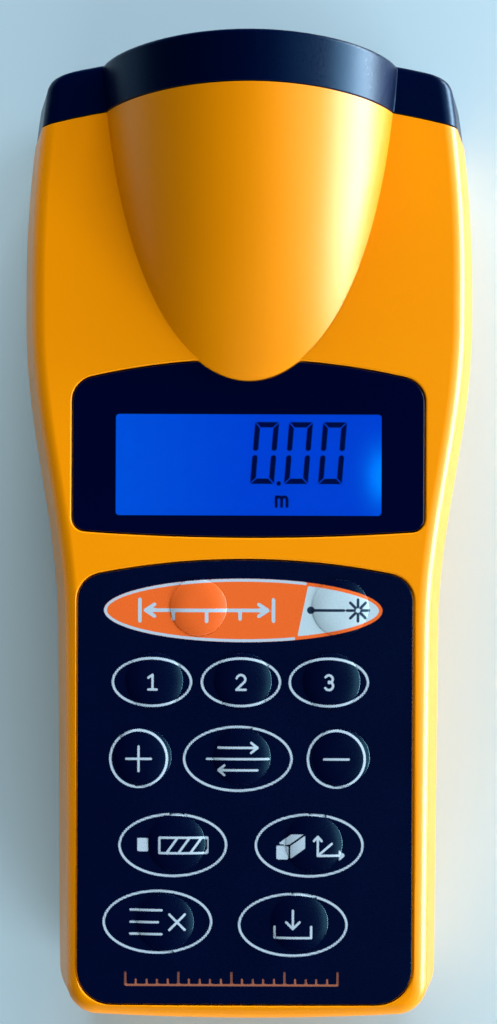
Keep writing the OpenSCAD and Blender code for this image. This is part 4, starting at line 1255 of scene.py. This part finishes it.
# Inner parts: material name, two colours, metallic, roughness, grain in millimetres and dents
FINISHES = {
    "transducer_can": ("aluminium, drawn", "#C9CCD0", "#B4B8BD", 1.0, 0.34, 0.5, 0.1),
    "transducer_grille": ("aluminium, etched mesh", "#8E9297", "#73777C", 1.0, 0.45, 0.2, 0.2),
    "transducer_base": ("phenolic resin, moulded", "#2A1D16", "#1E1510", 0.0, 0.5, 0.6, 0.1),
    "transducer_boot": ("rubber, moulded", "#1A1A1C", "#121214", 0.0, 0.75, 0.8, 0.25),
    "transducer_leads": ("vinyl lead, white", "#E6E4DC", "#D8D6CC", 0.0, 0.5, 1.2, 0.05),
    "laser_barrel": ("brass, turned", "#C8A24A", "#B38C38", 1.0, 0.28, 0.25, 0.1),
    "laser_leads": ("vinyl lead, blue", "#2C52B4", "#2346A0", 0.0, 0.5, 1.2, 0.05),
    "lcd_frame": ("polycarbonate, white", "#E9EAE6", "#DCDED8", 0.0, 0.5, 0.5, 0.08),
    "lcd_backlight": ("acrylic light guide", "#CFE0F4", "#BCD2EE", 0.0, 0.15, 2.0, 0.02),
    "backlight_led": ("epoxy lamp, blue", "#7FA8FF", "#6A96F6", 0.0, 0.2, 1.0, 0.02),
    "contact_strip": ("conductive rubber, striped", "#C9B9B4", "#2B2827", 0.0, 0.7, 0.18, 0.1),
    "main_board": ("glass-epoxy laminate, green mask", "#1C6B3C", "#145430", 0.0, 0.35, 0.45, 0.12),
    "controller_chip": ("moulding epoxy, black", "#1B1B1E", "#141416", 0.0, 0.6, 0.25, 0.2),
    "drive_transformer": ("ferrite and tape", "#3A3A40", "#C8A03A", 0.0, 0.55, 1.6, 0.15),
    "capacitors": ("vinyl sleeve, dark blue", "#1C2A5A", "#152148", 0.0, 0.35, 0.9, 0.05),
    "crystal": ("nickel-plated steel", "#BFC2C4", "#AAADB0", 1.0, 0.25, 0.35, 0.08),
    "battery": ("painted steel jacket", "#4A4E55", "#3E4248", 0.3, 0.35, 0.6, 0.08),
    "battery_snap": ("polythene cap, black", "#17181A", "#101113", 0.0, 0.5, 0.7, 0.12),
    "battery_leads": ("vinyl lead, red", "#B8201C", "#A01814", 0.0, 0.5, 1.2, 0.05),
    "case_screws": ("zinc-plated steel", "#B9BCC0", "#9EA2A8", 1.0, 0.3, 0.3, 0.12),
    "board_screws": ("zinc-plated steel", "#B9BCC0", "#9EA2A8", 1.0, 0.3, 0.3, 0.12),
}


class METER_OT_inner_parts(MeterMaker):
    """Materials of the parts that keep their CAD shape."""

    bl_idname = "meter.inner_parts"
    bl_label = "Inner parts"

    def make(self, s, c):
        for node, (name, light, deep, metallic, rough, grain, bump) in FINISHES.items():
            finish = moulded(name, linear(light), linear(deep), rough, grain, bump, metallic)
            self.wear(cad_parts[node], finish)
        self.wear(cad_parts["laser_lens"], clear_acrylic())

    def wear(self, part, finish):
        """Puts a material in every slot of a part."""
        if not part.data.materials:
            part.data.materials.append(finish)
        for i in range(len(part.data.materials)):
            part.data.materials[i] = finish


# Lights of the studio: azimuth and elevation, width and height in degrees as seen from the part, radiance, and
# whether the lamp lights the part, shows in its gloss, or both
PANELS = {
    "window_near": (-46, 12, 40, 8, 41.0, "light"),
    "window_far": (40, 13, 40, 8, 20.0, "light"),
    "window_sill": (0, 4, 40, 8, 12.0, "both"),
    "window_top": (27, 29, 40, 10, 4.0, "light"),
    "room_front": (90, 25, 40, 20, 16.0, "light"),
    "room_below": (268, 25, 40, 20, 4.6, "light"),
    "sky_right": (0, 50, 50, 24, 1.5, "gloss"),
    "window_gleam": (0, 14, 50, 10, 15.0, "gloss"),
}
LAMP_REACH = 2.5  # metres from the part to those lamps

# Low strip beside the nose: place, target and size in metres, radiance
LOW_STRIP = ((0.12, 0.03, 0.022), (0, 0.03, 0.03), (0.24, 0.04), 36.0)

TABLE_HALF = 4.0  # metres
TABLE_POINTS = 13

# Camera: place in metres, roll in degrees, height of the sensor in millimetres, focal length and picture height
# in pixels
EYE = (0, 4.5 * MM, 380 * MM)
ROLL = 0.2
SENSOR = 36
FOCAL_PIXELS = 2462
PICTURE_PIXELS = 1024


class METER_OT_stage(MeterMaker):
    """Pale table, a low window at the right, a dim room and the camera straight above."""

    bl_idname = "meter.stage"
    bl_label = "Stage"

    def make(self, s, c):
        self.table()
        for name, (azimuth, elevation, width, height, radiance, part) in PANELS.items():
            a, e = math.radians(azimuth), math.radians(elevation)
            place = LAMP_REACH * np.array([math.cos(a) * math.cos(e), math.sin(a) * math.cos(e), math.sin(e)])
            size = 2 * LAMP_REACH * np.tan(np.radians([width, height]) / 2)
            self.lamp(name, place, np.zeros(3), size, radiance, part)
        place, target, size, radiance = LOW_STRIP
        self.lamp("low_strip", np.array(place), np.array(target), size, radiance, "gloss")
        self.room()
        self.camera()

    def table(self):
        """Flat pale board under the part."""
        x = np.linspace(-TABLE_HALF, TABLE_HALF, TABLE_POINTS)
        top = np.stack([*np.meshgrid(x, x), np.zeros((TABLE_POINTS, TABLE_POINTS))], -1)
        table = new_piece("table", top, grid(TABLE_POINTS, TABLE_POINTS).tolist())
        look = {"rough": 0.7, "grain": 0.8, "bump": 0.05, "gloss": 0.0}
        table.data.materials.append(
            moulded("painted board, pale", linear("#B6D8EA"), linear("#B3D5E7"), **look)
        )

    def room(self):
        """Plain background that only the camera sees."""
        world = bpy.data.worlds.new("room")
        world.use_nodes = True
        background = world.node_tree.nodes["Background"].inputs
        background["Color"].default_value = linear("#C9DAE6")
        background["Strength"].default_value = 0.8
        bpy.context.scene.world = world
        for rays in ("diffuse", "glossy", "transmission"):
            setattr(world.cycles_visibility, rays, False)

    def camera(self):
        """Camera straight above the part."""
        scene = bpy.context.scene
        lens = bpy.data.cameras.new("camera")
        lens.sensor_fit = "VERTICAL"
        lens.sensor_height = SENSOR
        lens.lens = SENSOR * FOCAL_PIXELS / PICTURE_PIXELS
        lens.clip_start = 0.01
        camera = bpy.data.objects.new("camera", lens)
        camera.location = EYE
        camera.rotation_euler = (0, 0, math.radians(ROLL))
        scene.collection.objects.link(camera)
        scene.camera = camera
        scene.view_settings.view_transform = "Standard"

    def lamp(self, name, place, target, size, radiance, part):
        """Rectangular light at a place, facing a target; its power is pi times area times radiance."""
        light = bpy.data.lights.new(name, "AREA")
        light.shape = "RECTANGLE"
        light.size, light.size_y = size
        light.energy = math.pi * light.size * light.size_y * radiance
        lamp = bpy.data.objects.new(name, light)
        lamp.location = place
        aim = target - place
        level = math.hypot(aim[0], aim[1])
        lamp.rotation_euler = (math.atan2(level, -aim[2]), 0, math.atan2(-aim[0], aim[1]))
        lamp.visible_camera = False
        lamp.visible_diffuse = part != "gloss"
        lamp.visible_glossy = part != "light"
        lamp.visible_transmission = part != "light"
        bpy.context.scene.collection.objects.link(lamp)


MAKERS = (
    METER_OT_front_shell,
    METER_OT_rear_shell,
    METER_OT_front_cap,
    METER_OT_horn,
    METER_OT_display,
    METER_OT_keypad,
    METER_OT_key_mat,
    METER_OT_battery_door,
    METER_OT_inner_parts,
    METER_OT_stage,
)


class METER_PT_panel(bpy.types.Panel):
    """Lists the operators and the sizes and colours that they use."""

    bl_idname = "METER_PT_panel"
    bl_label = "Ultrasonic distance meter"
    bl_space_type = "VIEW_3D"
    bl_region_type = "UI"
    bl_category = "Meter"

    def draw(self, context):
        for maker in MAKERS:
            self.layout.operator(maker.bl_idname)
        for group in (context.scene.meter_sizes, context.scene.meter_colours):
            box = self.layout.box()
            for name in group.bl_rna.properties.keys():
                if name not in {"rna_type", "name"}:
                    box.prop(group, name)


CLASSES = (MeterSizes, MeterColours, *MAKERS, METER_PT_panel)


def register():
    """Registers the classes and puts the two groups on the scene."""
    for cls in CLASSES:
        bpy.utils.register_class(cls)
    bpy.types.Scene.meter_sizes = bpy.props.PointerProperty(type=MeterSizes)
    bpy.types.Scene.meter_colours = bpy.props.PointerProperty(type=MeterColours)


def unregister():
    """Takes the groups off the scene and the classes away."""
    del bpy.types.Scene.meter_colours
    del bpy.types.Scene.meter_sizes
    for cls in reversed(CLASSES):
        bpy.utils.unregister_class(cls)


def main():
    """Registers the add-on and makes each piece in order."""
    register()
    for maker in MAKERS:
        group, call = maker.bl_idname.split(".")
        getattr(getattr(bpy.ops, group), call)()


if __name__ == "__main__":
    main()
